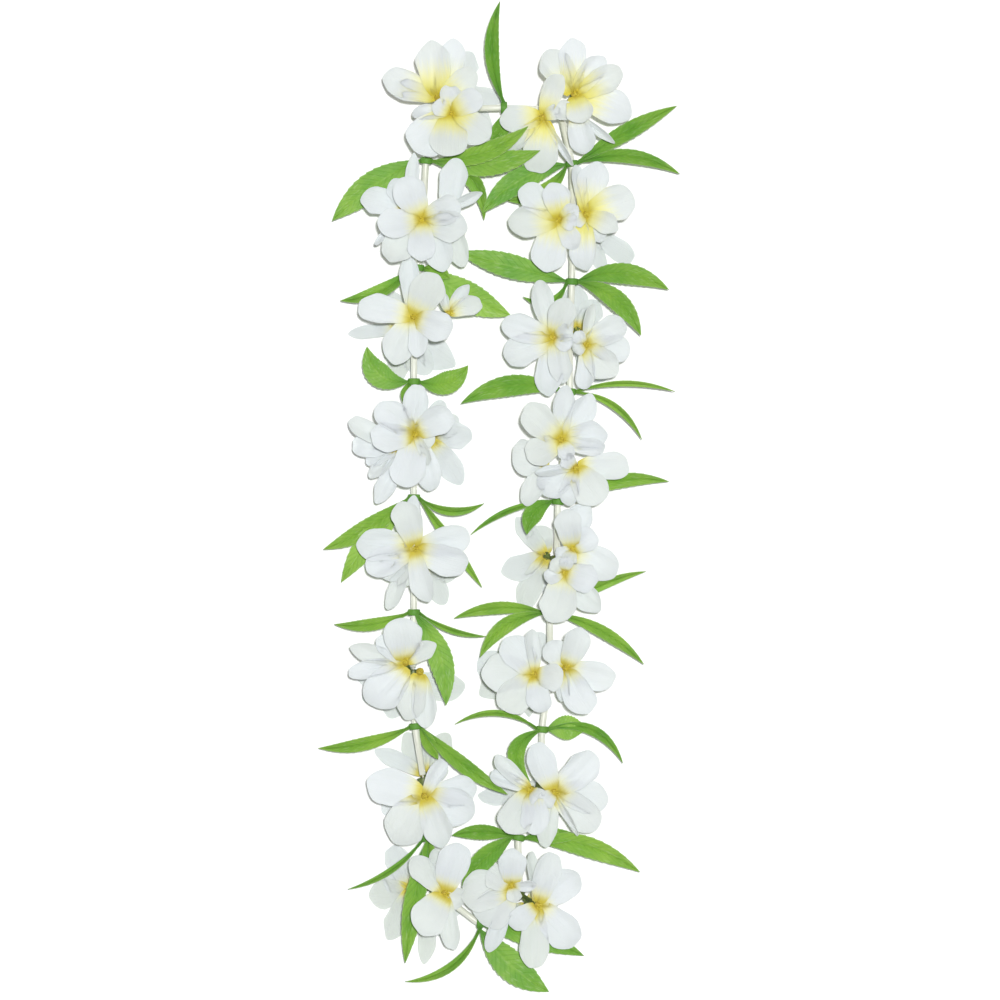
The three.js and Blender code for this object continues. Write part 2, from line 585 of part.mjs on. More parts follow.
// A leaf's saw-toothed edge: [how far along, share of the half width] from root to tip, tooth then notch
const LEAF_EDGE = [[0.2, 0.74], [0.25, 0.64], [0.45, 1.06], [0.5, 0.88], [0.7, 0.78], [0.75, 0.6]];
const LEAF_MIDRIB = [0.3, 0.7];
const LEAF_FOLD = 0.12;
const SMALL_STEP = 0.05;

// A leaf springs from the collar's side, or from its top where it runs along the tube.
function leafRoot(centre, way, tip) {
  const out = new THREE.Vector3(tip[0] - centre.x, tip[1] - centre.y, 0).normalize();
  const beside = new THREE.Vector3(-way.y, way.x, 0);
  const side = out.dot(beside);
  if (Math.abs(side) < LEAF_TOP_SHARE) {
    return centre.clone().add(new THREE.Vector3(0, 0, LEAF_SEAT));
  }
  return centre.clone().addScaledVector(beside, Math.sign(side) * LEAF_SEAT);
}

function leaf(centre, way, { tip, width, bow, arch, roll: rollDegrees = 0 }) {
  const root = leafRoot(centre, way, tip);
  const end = new THREE.Vector3(...tip);
  const heading = new THREE.Vector3(end.x - root.x, end.y - root.y, 0).normalize();
  const left = new THREE.Vector3(-heading.y, heading.x, 0);
  const roll = THREE.MathUtils.degToRad(rollDegrees);
  const midrib = (s) => {
    const point = root.clone().lerp(end, s);
    point.addScaledVector(left, bow * swell(s));
    point.z += arch * swell(s);
    return point;
  };
  const place = (s, share) => {
    const ahead = midrib(Math.min(s + SMALL_STEP, 1)).sub(midrib(Math.max(s - SMALL_STEP, 0)));
    const sideways = new THREE.Vector3(-ahead.y, ahead.x, 0).normalize();
    const half = (width / 2) * share;
    const point = midrib(s).addScaledVector(sideways, half * Math.cos(roll));
    point.z += half * Math.sin(roll) * Math.sin(Math.PI * s) + LEAF_FOLD * Math.abs(half);
    return point;
  };
  const edge = (side) => LEAF_EDGE.map(([s, share]) => place(s, side * share));
  const points = [
    root.clone(), ...edge(-1), end.clone(), ...edge(1).toReversed(),
    ...LEAF_MIDRIB.map((s) => place(s, 0)),
  ];
  for (const point of points) {
    point.z = Math.max(point.z, LOWEST_SHEET_Z);
  }
  const corners = LEAF_EDGE.length;
  const tipCorner = corners + 1;
  const rimCount = 2 * corners + 2;
  const near = rimCount;
  const far = rimCount + 1;
  const triangles = [[0, 1, rimCount - 1], [near, rimCount - 1, 1]];
  for (let k = 1; k < corners; k += 1) {
    const rib = k < corners / 2 + 1 ? near : far;
    triangles.push([rib, k, k + 1], [rib, rimCount - k - 1, rimCount - k]);
  }
  const waist = Math.ceil(corners / 2) + 1;
  triangles.push([near, waist, far], [near, far, rimCount - waist]);
  triangles.push([far, corners, tipCorner], [far, tipCorner, corners + 2]);
  return sheet(points, triangles, Array.from({ length: rimCount }, (_, i) => i));
}

function whorl(name, i) {
  const centre = WHORL_POINTS[i];
  const [start, , end] = tubePoints(i);
  const way = end.clone().sub(start).normalize();
  const collar = rod(
    centre.clone().addScaledVector(way, -COLLAR_LENGTH / 2),
    centre.clone().addScaledVector(way, COLLAR_LENGTH / 2), COLLAR_OUTER_RADIUS, TUBE_SIDES);
  const leaves = WHORLS[name].leaves.map((one) => leaf(centre, way, one));
  return joined([collar, ...leaves]).subtract(pipe(tubePoints(i), COLLAR_INNER_RADIUS, 0, TUBE_SIDES));
}

function named(name, solid, material) {
  const mesh = new THREE.Mesh(geometryOf(solid), material);
  mesh.name = name;
  return mesh;
}

const lei = new THREE.Group();
HUB_NAMES.forEach((name, i) => {
  lei.add(named(`flower_cluster_${name}`, cluster(name, i), FLOWER_WHITE));
  lei.add(named(`leaf_whorl_${name}`, whorl(name, i), LEAF_GREEN));
  lei.add(named(`spacer_tube_${name}`, spacerTube(i), TUBE_MILKY));
});
const cordPoints = HUB_POINTS.flatMap((hub, i) => [hub, WHORL_POINTS[i]]);
const cordRuns = new Runs([...cordPoints, cordPoints[0]]);
const cord = new THREE.TubeGeometry(cordRuns, cordPoints.length, CORD_RADIUS, CORD_SIDES, true);
lei.add(named('cord', solidOf(cord), CORD_CREAM));

export default lei;
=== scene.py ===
"""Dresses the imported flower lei: white fabric flowers, green leaves, milky tubes and the cord.

The lei lies on a pale floor, and the camera looks straight down on it. Lengths below are in millimetres,
as in the part's own source, where nothing else is said, and MM turns them into Blender's metres. SHARP
is the angle in degrees from which edges show sharp, and SIDES is the number of sides of a round form.
"""
import math
import random
from collections import namedtuple

import bmesh
import bpy
import numpy as np
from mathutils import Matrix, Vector


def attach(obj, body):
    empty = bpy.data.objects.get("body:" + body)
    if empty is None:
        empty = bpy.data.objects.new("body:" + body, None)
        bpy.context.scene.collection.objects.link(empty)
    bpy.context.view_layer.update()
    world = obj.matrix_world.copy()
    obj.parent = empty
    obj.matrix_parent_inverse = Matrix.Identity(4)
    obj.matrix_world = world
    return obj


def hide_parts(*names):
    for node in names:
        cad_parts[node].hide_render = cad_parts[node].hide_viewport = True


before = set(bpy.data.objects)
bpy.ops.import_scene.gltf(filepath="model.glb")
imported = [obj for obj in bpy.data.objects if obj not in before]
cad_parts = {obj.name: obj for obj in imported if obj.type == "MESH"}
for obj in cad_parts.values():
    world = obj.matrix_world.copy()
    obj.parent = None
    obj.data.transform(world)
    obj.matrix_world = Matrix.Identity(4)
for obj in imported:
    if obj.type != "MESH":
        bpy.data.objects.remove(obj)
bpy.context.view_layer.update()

MM = 0.001
SEED = 7
MERGE_DISTANCE = 1e-7  # metres
LEAST_LENGTH = 1e-9
OFF_AXIS = [0.31, 0.17, 0.9]  # a direction in which nothing that is turned points

# Cord and tubes. The middle and the groove of a strand are shares of the cord's radius.
CORD_Z = 13
CORD_RADIUS = 0.5
CORD_STRANDS = 3
CORD_PITCH = 4.5
CORD_STEP = 0.6
CORD_SIDES = 12
STRAND_MIDDLE = 0.86
STRAND_GROOVE = 0.16
CORNER_LEG = 3
CORNER_POINTS = 7
TUBE_OUTER_RADIUS = 1.6
TUBE_INNER_RADIUS = 0.95
TUBE_ROUNDING = 0.25
TUBE_END_GAP = 1.2
TUBE_SIDES = 24
TUBE_SHARP = 50

# Hubs. CALYX gives the cup under a flower: [distance before the eye, radius].
HUB_RADIUS = 3
HUB_BORE_RADIUS = 1
HUB_LENGTH = 6
HUB_BEND_SHARE = 0.9
HUB_ROUNDING = 0.5
HUB_SIDES = 28
HUB_SHARP = 45
PRONG_RADIUS = 0.9
PRONG_START = 2
PRONG_SIDES = 16
CALYX = [[2.6, PRONG_RADIUS], [2.2, 1.2], [1.2, 1.9], [0.5, 2.0], [0.3, 2.0], [0.2, 0]]

# Eyes
EYE_BASE = 0.3
EYE_SUNK = 0.5
EYE_FOOT_RADIUS = 1.2
EYE_DOME_RADIUS = 2.0
EYE_DOME_HEIGHT = 1.3
EYE_DOME_RINGS = 4
EYE_SIDES = 12
EYES_APART = 6
STAMENS_PER_AREA = 2.4e6  # per square metre
STAMEN_LENGTH = 3.4
STAMEN_RADIUS = 0.16
KNOB_RADIUS = 0.3
KNOB_STRETCH = 1.7
STAMEN_SPREAD = 0.4
STAMEN_SIZES = (0.65, 1.15)

# Flowers
PETAL_THICKNESS = 0.32
PETAL_LENGTH = 29
WIDE_PETAL = 14
PETAL_ROWS = 26
PETAL_COLUMNS = 17
PETAL_SHARP = 60
PETAL_ROOT_SHARE = 0.05
PETAL_WIDEST_SHARE = 0.65
ROOT_TAPER = 0.38
OUTLINE_PEAK = 0.8
TIP_FLATNESS = 0.97
SIDE_FALL = 5
CAP_SWELL = 2.5
RIPPLE_SWELL = 4
RIPPLES = 5
FRONT_EYE_Z = 20
BACK_EYE_Z = 6.5
FRONT_FLOOR_Z = 17.6
BACK_CEILING_Z = 9
LOWEST_SHEET_Z = 0.35
RISE_SHARE = 0.7
RISE_CURVE = 0.8
MOST_RISE = 12
FRONT_BULGE = 2.2
FRONT_CUP = 1.6
BACK_LANDING = 0.55
BACK_STEP = 1.5

# Where a petal's curl and taper begin, as shares of its half width or its length, and its waves and folds
CURL_FROM = 0.35
CURL_POWER = 1.6
WAVE_POWER = 1.5
TIP_CURL_FROM = 0.62
TAPER_FROM = 0.6
EDGE_WAVE = 0.05
FOLDS = 2.6
CREASE_DEPTH = 0.5
CREASE_WIDTH = 0.14
CREASE_END = 0.95
CREASE_FADE = 0.5
BACK_STIFFNESS = 3
PROUD_SHARE = 0.8

# What is drawn for each petal: the least and the most. Heights and curls are those of a full petal.
POINTED = {"front": (-0.15, 0.3), "back": (0, 0.5)}
RIPPLE_HEIGHT = (0.005, 0.02)
WIDTH_SHARE = (0.98, 1.08)
WAVE_COUNT = (1.1, 2.2)
WAVE_HEIGHT = (0.25, 0.75)
SIDE_CURL = (-2.5, 3.5)
TIP_CURL = (-4.0, 2.0)
SWAY = (-1.4, 1.4)
PLEAT_HEIGHT = (0.15, 0.5)
EDGE_COUNT = (1.5, 3)
TIP_TAPER = (-0.05, 0.14)
LEAN_DEGREES = (5, 10)
THROAT_VARIETY = (0.8, 1.1)

# Leaves
LEAF_THICKNESS = 0.36
FLAT_LEAF_WIDTH = 13
LEAF_SEAT = 2.3
LEAF_TOP_SHARE = 0.35
LEAF_FOLD = 0.12
MOST_FOLD = 0.8
MOST_TWIST = 0.5
MOST_DROOP = 1.0
STALK_HALF_WIDTH = 0.8
STALK_SHARE = 0.15
LEAF_TEETH = 14
ROWS_PER_TOOTH = 6
LEAF_COLUMNS = 13
LEAF_SHARP = 50
BLADE_SKEW = 1.05
BLADE_FULLNESS = 0.9
TOOTH_DEPTH = 0.09
TOOTH_POWER = 4
VEIN_SLANT = 2.2
PLEAT_DEPTH = 0.12
PLEAT_RISE = 3
TIP_FADE = 0.2
TWIST_FROM = 0.4
RIB_DEPTH = 0.35
RIB_WIDTH = 0.1
SMALL_STEP = 0.05
COLLAR_INNER_RADIUS = 1.95
COLLAR_OUTER_RADIUS = 3.1
COLLAR_LENGTH = 3.2
COLLAR_ROUNDING = 0.4
COLLAR_TONE = 0.2
COLLAR_RINGS = 4

# Colours
PETAL_WHITE = (0.72, 0.77, 0.79, 1)
# The next colour is painted shade: a shaded copy of the petal white.
PETAL_SHADED = (0.66, 0.71, 0.64, 1)
PETAL_VEIN = (0.68, 0.73, 0.73, 1)
# The next colour darkens each petal's rim: partly the fabric's thin edge and partly painted shadow where
# petals overlap.
PETAL_RIM_AND_SHADOW = (0.55, 0.60, 0.60, 1)
THROAT_PALE = (0.86, 0.85, 0.40, 1)
THROAT_DEEP = (0.80, 0.73, 0.12, 1)
THROAT_GOLD = (0.62, 0.51, 0.04, 1)
LEAF_GREEN = (0.12, 0.32, 0.035, 1)
LEAF_LIGHT = (0.30, 0.50, 0.07, 1)
LEAF_DARK = (0.05, 0.19, 0.03, 1)
# The next colour gives each leaf's pale edge and its pale flecks, which are painted sheen.
LEAF_PALE_EDGE_AND_SHEEN = (0.60, 0.72, 0.42, 1)
TUBE_MILKY = (0.84, 0.85, 0.76, 1)
TUBE_CLOUDY = (0.78, 0.79, 0.68, 1)
CORD_CREAM = (0.82, 0.80, 0.70, 1)
CORD_SHADED = (0.60, 0.57, 0.47, 1)
HUB_GREEN = (0.05, 0.08, 0.015, 1)
HUB_LIGHT = (0.12, 0.16, 0.03, 1)
EYE_GOLD = (0.58, 0.47, 0.03, 1)
EYE_YELLOW = (0.74, 0.65, 0.10, 1)
EYE_AMBER = (0.34, 0.25, 0.02, 1)
FLOOR_WHITE = (0.98, 0.98, 0.98, 1)

# Finishes: patches and threads to the metre
PETAL_PATCHES = 90
LEAF_PATCHES = 70
TUBE_PATCHES = 160
CORD_PATCHES = 900
HUB_PATCHES = 260
EYE_PATCHES = 700
PETAL_THREADS = 2600
LEAF_THREADS = 2200
CORD_THREADS = 5000

# How strongly each mark, painted shade and sheen shows, as a share. A sheet's own tone also moves its
# streaks, by TONE_SHIFT.
TONE_SHIFT = 40
PETAL_TONE_SHADE = 0.6
PETAL_PATCH_SHADE = 0.1
PETAL_BEHIND_SHADE = 0.1
PETAL_VEIN_SHADE = 0.3
PETAL_RIM_SHADE = 0.12
THROAT_GOLD_SHARE = 0.9
LEAF_TONE_LIGHT = 0.5
LEAF_PATCH_LIGHT = 0.45
LEAF_RIB_LIGHT = 0.22
LEAF_ROOT_SHADE = 0.55
LEAF_VEIN_SHADE = 0.12
LEAF_EDGE_PALE = 0.3
# Painted sheen: how strongly the pale flecks show, given at the root and at the tip.
LEAF_SHEEN_FLECKS = (0.06, 0.26)  # at the root and at the tip
EYE_ROOT_AMBER = 0.85

# How deep the relief of each finish looks
PETAL_THREAD_DEPTH = 0.04
PETAL_STREAK_DEPTH = 0.4
LEAF_THREAD_DEPTH = 0.05
LEAF_VEIN_DEPTH = 0.2
CORD_THREAD_DEPTH = 0.05
HUB_PATCH_DEPTH = 0.1

# Camera, floor and light, in metres and watts, with the lens and its sensor in millimetres
CAMERA_LENS = 300
CAMERA_SENSOR = 36
CAMERA_FAR = 20
VIEW_WIDTH = 0.5
VIEW_HEIGHT = 0.015
VIEW_CENTRE_Y = -0.00125
FLOOR_SIZE = 6
FLOOR_GLOW = 0.04
WORLD_LIGHT = 0.27
KEY_PLACE = (0.3, 0.34, 8)
KEY_SIZE = 0.35
KEY_POWER = 570

# What the lists below give for each petal, flower and leaf. A petal without a rise gets it from its length.
Petal = namedtuple("Petal", ["across", "along", "width", "roll", "rise"], defaults=[0, None])
Flower = namedtuple("Flower", ["side", "eye", "petals"])
Leaf = namedtuple("Leaf", ["tip", "width", "bow", "arch", "roll"], defaults=[0])

# The hubs' places along the loop, down the left strand and up the right one: [x, y]
HUBS = {
    "left_1": [-33, 194], "left_2": [-38.5, 141], "left_3": [-43, 89], "left_4": [-43, 31],
    "left_5": [-43, -25], "left_6": [-43.5, -89], "left_7": [-38, -143], "left_8": [-33, -196],
    "right_8": [10, -198], "right_7": [21, -145], "right_6": [25, -87], "right_5": [28.5, -32],
    "right_4": [32, 24], "right_3": [35, 79], "right_2": [36.5, 140], "right_1": [30, 194],
}
HUB_NAMES = list(HUBS)
COUNT = len(HUB_NAMES)

# The flowers of each cluster: their side, their eye and their petals. The eye is [x, y] of the flower's
# centre. "front" flowers open upwards over the leaves, and "back" ones lie under them. Each petal is
# [across, along] from the eye to its tip, then its width, its roll in degrees about its own length, and its
# tip's height over the eye where that doesn't follow from its length.
FLOWERS = {
  "left_1": [
    ["front", [-31, 199.5], [
      [-27, 11.5, 14], [-23.5, 4.5, 11, 0, 1], [-3.5, 28.5, 17], [9, 29.5, 15], [19, 13, 13, 0, 8]]],
    ["front", [-24.5, 192], [
      [-19.5, -0.5, 10, 35, 4], [-19.5, -18, 20], [-2, -22, 20], [19, -13.5, 17], [15.5, 8, 12],
      [-1, 14, 10, 0, 6], [-9, 4, 9, 0, 6]]],
    ["back", [-22, 205], [
      [7, 19, 13], [24, -5.5, 9], [-14, 15, 13], [-14, -8, 14], [17, -24, 13]]],
  ],
  "left_2": [
    ["front", [-39, 139], [
      [-9.5, 20.5, 17], [-22, -3, 15], [-18, -20, 16], [11.5, -26, 15], [22.5, -5, 15], [19, 7, 14],
      [1, -21, 14]]],
    ["front", [-27, 143], [
      [6, 26.5, 14, 0, 1], [18, 9, 7, 25, 2], [9, -28, 12, 0, -2]]],
    ["front", [-47, 144], [
      [-22.5, 6, 14, 0, 1], [4.5, 28, 7, 0, 0], [-15.5, -18, 6, 45, 1], [-6, 15, 12, 0, 1]]],
  ],
  "left_3": [
    ["front", [-43, 90], [
      [-3, 31, 10, 0, 0], [11, 21.5, 17], [-28, 5, 15], [-11, -23, 16, 0, 0], [2, -20, 10, 0, 7],
      [19, -7, 15]]],
    ["front", [-26, 92], [
      [10.5, 14, 6, 0, 2], [17, 5, 10, 0, 2], [-2, 10, 6, 30, 3]]],
    ["back", [-50, 84], [
      [-26, -2, 8, 25], [-8, 20, 13], [27, -18, 15], [15, -22, 15], [0, -26, 11]]],
  ],
  "left_4": [
    ["front", [-42.5, 31.5], [
      [1.5, 25, 13], [-19.5, 14, 15], [-22, -1, 15], [-6.5, -26, 17], [7, -15, 7, 30, 6],
      [9, -28, 13, 0, 0], [19, 10, 14], [10, -3, 10, 0, 3]]],
    ["back", [-34.5, 29], [
      [21, 2.5, 13], [15, -22.5, 12], [5.5, 20, 10], [13, 12, 11]]],
    ["front", [-50, 25], [
      [-25, 14, 11, 20, -1], [-24, 1, 12, 0, -2], [-17, -8, 9, 0, -2], [-15.5, -15, 8, 20, -2],
      [-11.5, -28, 10, 0, -2]]],
  ],
  "left_5": [
    ["front", [-42.5, -25.5], [
      [-7.5, 23, 14], [-29, 1.5, 16, 0, 1], [-24.5, -10.5, 15, 0, 2], [6.5, -26.5, 11],
      [26.5, -8.5, 15], [27.5, 6.5, 16]]],
    ["back", [-37, -31], [
      [9, -23, 11], [18, 8, 12], [16, -8, 12], [4, 12, 12]]],
    ["front", [-46, -29], [
      [3, 30, 8, 0, 0], [-10, -27, 8, 0, -1], [-14, -10, 13, 0, 0], [-5, -16, 13, 0, 1]]],
  ],
  "left_6": [
    ["front", [-47, -82.5], [
      [-3.5, 22.5, 19], [-14, 13, 12, 0, 3], [-28, 7.5, 9, 0, 2], [-29, -5.5, 9, 0, 2],
      [-18.5, -20.5, 20, 0, 3], [15, 9.5, 10, 0, 6]]],
    ["front", [-40, -87], [
      [3, -28, 13, 0, 1], [-6, -24, 14, 0, 3]]],
    ["back", [-49, -91], [
      [-24, 3, 14], [-20, -10, 14], [-6, -20, 14], [31.5, -4.5, 15], [2, 18, 12]]],
  ],
  "left_7": [
    ["front", [-37.5, -149], [
      [25.5, 5, 15, 0, 1], [24.5, -9, 18, 0, 4], [9.5, -25.5, 15], [-14.5, -24, 20, 0, 2],
      [-29, 6.5, 18, 0, 1], [10, 18, 10, 30, 6]]],
    ["back", [-38, -139], [
      [-9, 21, 12], [1, 22, 9], [-25, 12, 9], [12, 21, 12], [12, 2, 10]]],
    ["back", [-44, -148], [
      [-16, 4, 14], [-15, -10, 14], [-6, -20, 14], [10, -20, 14]]],
  ],
  "left_8": [
    ["front", [-27.5, -197.5], [
      [8.5, 25, 16], [-17, 17.5, 13, 0, 3], [-12, -20, 18], [4, -28.5, 10, 0, 0], [10, -4, 11, 0, -2],
      [-5.5, 22, 9, 20, 2]]],
    ["back", [-45, -196], [
      [-10, 21, 12], [-20.5, -5, 15], [-11, -26, 13], [-13, 6, 13]]],
    ["back", [-35, -204], [
      [-3, -30, 9], [10, -16, 12], [-12, -12, 12], [16, -3, 12]]],
  ],
  "right_8": [
    ["front", [18.5, -203.5], [
      [8.5, 26.5, 14], [21, 15, 15, 0, 1], [20, -19.5, 18, 0, 1], [-1.5, -31.5, 14, 0, 0],
      [-13, -11, 12, 20, 6], [-3, 27, 7, 30, 3]]],
    ["front", [6, -194], [
      [0, 19, 14, 0, 10], [12, 1, 8, 40, 6], [-25, -5, 21, 0, 3], [-12, 8, 14, 0, 4],
      [-16, -18, 19, 0, 2], [-12, -33, 9, 0, -1], [2, -8, 8, 0, 4]]],
    ["back", [14, -204], [
      [15, -2, 12], [8, -24, 14], [-8, -10, 13], [16, 12, 13]]],
  ],
  "right_7": [
    ["front", [27, -147], [
      [-9.5, 25, 15], [21, 19, 16], [27, -5, 16, 0, 1], [-5, -28, 10, 0, 0], [22, -18, 17, 0, 3],
      [12, -22, 6, 50, 2], [-6, -6, 9, 0, 5]]],
    ["front", [15.5, -146], [
      [-18, 17, 9, 20, 2], [-20.5, 8, 9, 20, 2], [-12.5, -20.5, 17], [2, -22, 14], [5, -5, 9, 0, 5]]],
    ["back", [13, -149], [
      [-24, -1, 9], [8, -20, 13], [16, 8, 13], [20, -8, 13]]],
  ],
  "right_6": [
    ["front", [17.5, -88.5], [
      [-26.5, 1, 18, 0, 2], [-15, 18, 16, 0, 4], [-2, 22.5, 9, 30, 5], [-17, -17, 17, 0, 4],
      [4, -18.5, 12, 0, 8], [14, -2, 13, 0, 9]]],
    ["front", [32.5, -85], [
      [9, 20, 13], [25, -6, 14], [12, -22, 15], [-1, -17, 9, 30, 4], [-8, 13, 13, 0, 4]]],
    ["back", [10, -86], [
      [-22, 2, 16], [-20, -13, 13], [5, -24, 7], [12, 18, 13]]],
  ],
  "right_5": [
    ["front", [32, -37], [
      [18, -19.5, 13, 0, 2], [-6, -25.5, 18], [16.5, -5, 14, 0, 8], [-10, -3, 9, 20, 4],
      [1.5, 7.5, 7, 0, 6], [-6, 6, 9, 0, 5]]],
    ["front", [36, -26], [
      [-3, 20, 13], [6.5, 23, 13, 0, 3], [12, 8, 13, 0, 6], [22.5, -12, 16, 0, 2], [-8, -4, 9, 0, 4],
      [-2, -7, 8, 0, 5]]],
    ["back", [23, -29], [
      [-15, 19, 10], [-4, 15, 14], [-22, -9, 13], [-12, -27, 12], [4, -22, 13]]],
  ],
  "right_4": [
    ["front", [30.5, 28.5], [
      [-18, 17, 16], [2.5, 27.5, 10], [16, 23, 13, 0, 3], [23, 3, 15, 0, 3], [-17.5, -8, 14, 0, 8],
      [22, -4, 10, 20, 5], [4, -10, 9, 0, 5]]],
    ["front", [37.5, 15], [
      [27, 0.5, 14, 0, 1], [13.5, -17.5, 18, 0, 6], [-4, -19, 10, 0, 4], [-18, -12, 16, 0, 3],
      [-20, -3, 8, 40, 6], [-6, 6, 8, 0, 5]]],
    ["front", [23, 21], [
      [-17, -1, 18, 0, -2], [-11, -25, 11, 0, -2]]],
  ],
  "right_3": [
    ["front", [27, 80], [
      [-26, 7.5, 14, 0, 3], [-24.5, -10.5, 15, 0, 2], [-7.5, 28.5, 11, 0, 0], [7, 19, 14],
      [-4, -29, 14, 0, 0], [5, -23, 12, 0, 5], [9, -4, 9, 0, 5], [9, 4, 9, 0, 6]]],
    ["front", [42.5, 76.5], [
      [20, 11, 13, 0, 5], [22.5, -3.5, 14, 0, 3], [15.5, -15.5, 15, 0, 5], [-1, -22.5, 10, 20, 2],
      [4, 20, 8, 40, 4], [-6, -3, 8, 0, 4], [-5, 6, 7, 0, 5]]],
    ["back", [39, 84], [
      [-1, 23, 13], [10, 15, 12], [-14, 6, 12], [13, -26, 13]]],
  ],
  "right_2": [
    ["front", [30, 139], [
      [-19.5, 16, 14, 0, 4], [-4, 18, 14, 0, 7], [-26, -2, 15, 0, 3], [-8, -26, 17, 0, 2],
      [9, 6, 10, 20, 6], [8, -15, 11, 10, 5], [8, -3, 9, 0, 5]]],
    ["front", [42.5, 141], [
      [7.5, 26.5, 15, 0, 2], [-4.5, 25, 9, 30, 2], [24.5, 9, 18, 0, 4], [16.5, -7, 11, 0, 6],
      [-0.5, -27.5, 13, 0, 1], [9, -13, 8, 0, -2], [-6, -4, 8, 0, 4]]],
    ["back", [44, 136], [
      [23, -17, 11], [9, -25, 7], [15, 4, 13], [-8, 14, 12]]],
  ],
  "right_1": [
    ["front", [37, 201], [
      [0, 28, 14], [-14, 22, 16, 0, 5], [15, 19, 12, 0, 4], [24, 12.5, 14, 0, 4],
      [28.5, -10, 17, 0, 1], [4, -14, 14, 0, 9]]],
    ["front", [21.5, 190], [
      [8.5, 21, 12, 10, 9], [-21.5, -2, 14, 0, -2], [-19, -18, 8, 0, -2], [-3.5, -28, 17, 0, -2],
      [15, -24.5, 6, 50, 0], [9, 3, 8, 0, 4]]],
    ["front", [38, 192], [
      [5, -20, 13, 0, 0], [19, -15, 6, 40, 1], [-11, 2, 10, 0, 3]]],
  ],
}

# The leaf whorls, each named for the cluster that it follows. at: [x, y] on the tube. Each leaf is its tip
# [x, y, z], its width, its bow (how far its middle is pushed to its left), its arch (how far its middle is
# lifted) and its roll in degrees where it has one.
WHORLS = {
  "left_1": {"at": [-37, 168.5], "leaves": [
    [[-84, 138.5, 10], 15, -3, 2],
    [[14, 185, 28], 10, -5, -2],
    [[20, 173, 27], 13, -4, -2],
    [[-8, 139, 9], 9, 9, 1, 25]]},
  "left_2": {"at": [-41, 115], "leaves": [
    [[-80, 98.5, 10], 8, 4, 3, 25],
    [[5.5, 91, 12], 16, -2, 0],
    [[-25, 109.5, 16], 8, 1, 1, 10]]},
  "left_3": {"at": [-43, 58], "leaves": [
    [[-66.5, 75.5, 14], 13, 7, 1],
    [[-16, 66, 14], 12, -5, 1],
    [[-48, 46.5, 15], 6, 0, 1]]},
  "left_4": {"at": [-43, 0], "leaves": [
    [[-8, -3, 12], 5, -5.5, 3, 25],
    [[-88.5, -26, 9], 10, 2.5, 2],
    [[-79.5, -42.5, 8], 13, -2, 2],
    [[-9, -45, 8], 6, 0, 0, 25]]},
  "left_5": {"at": [-43, -57.5], "leaves": [
    [[-83, -63.5, 10], 6.5, 3, 3],
    [[-7, -69.5, 12], 3.5, -3, 2, 25],
    [[-27, -104, 16.2], 13, 5, 3]]},
  "left_6": {"at": [-42.5, -114.5], "leaves": [
    [[-91, -125.5, 10], 7, 3, 3],
    [[4, -148.5, 16], 8, -2, 3],
    [[-31, -131, 14], 7, 0, 0]]},
  "left_7": {"at": [-36, -170.5], "leaves": [
    [[-76, -196, 12], 3.5, 4, 2, 25],
    [[-47.5, -233, 12], 11, -1, 1],
    [[-35, -184, 15], 7, 0, 0]]},
  "left_8": {"at": [-10, -213.5], "leaves": [
    [[-47.5, -242.5, 8], 5, 7, 2, 25],
    [[24.5, -247.5, 8], 16, -3, 1],
    [[42, -229.5, 8], 12, 2, 1]]},
  "right_8": {"at": [9, -170], "leaves": [
    [[-24, -169, 14], 8, -2, 1],
    [[-19, -194, 16.5], 11, -2, 3],
    [[70, -187.5, 10], 11, 5, 2],
    [[40, -170, 12], 8, 1, 1]]},
  "right_7": {"at": [21, -116], "leaves": [
    [[-22.5, -113.5, 11.5], 3.5, -7, 3, 25],
    [[61.5, -133, 10], 5.5, 9, 2],
    [[43, -116, 11], 13, 1, 2],
    [[15, -142, 15.5], 9, -10, 0]]},
  "right_6": {"at": [25, -58], "leaves": [
    [[-23, -60.5, 10.5], 6.5, -4, 2],
    [[-10, -80, 14], 8, -6, 2],
    [[72, -83.5, 10], 6.5, 4, 2],
    [[73, -37, 10], 6, 3, 2, 30]]},
  "right_5": {"at": [29, -2], "leaves": [
    [[-14.5, -18.5, 11], 3.5, -4, 2, 25],
    [[13.5, -18.5, 15.5], 10, -4, 1],
    [[84.5, 8, 10], 8, 5, 0]]},
  "right_4": {"at": [35, 53], "leaves": [
    [[-19.5, 47, 12], 11, -6, 1],
    [[87.5, 53, 12], 3.5, 4, 3, 30],
    [[71, 29, 10], 4, 5.5, 2, 25]]},
  "right_3": {"at": [36, 108], "leaves": [
    [[-21.5, 123, 12], 13, 0, 1],
    [[84.5, 104, 10], 11, 6, 2],
    [[70.5, 81, 14], 10.5, 5.5, 3],
    [[11.5, 100.5, 9], 5, 7, 0, 20]]},
  "right_2": {"at": [36, 167], "leaves": [
    [[88.5, 196, 10], 9, 1, 2],
    [[90, 162, 8], 7.5, 6, 2],
    [[-9, 142, 15.5], 13, -5, 1],
    [[3, 149, 9], 8, 6, 0]]},
  "right_1": {"at": [2, 195], "leaves": [
    [[0, 248, 16], 7.5, 5, 3],
    [[-5, 177, 10], 9, 2, 0]]},
}

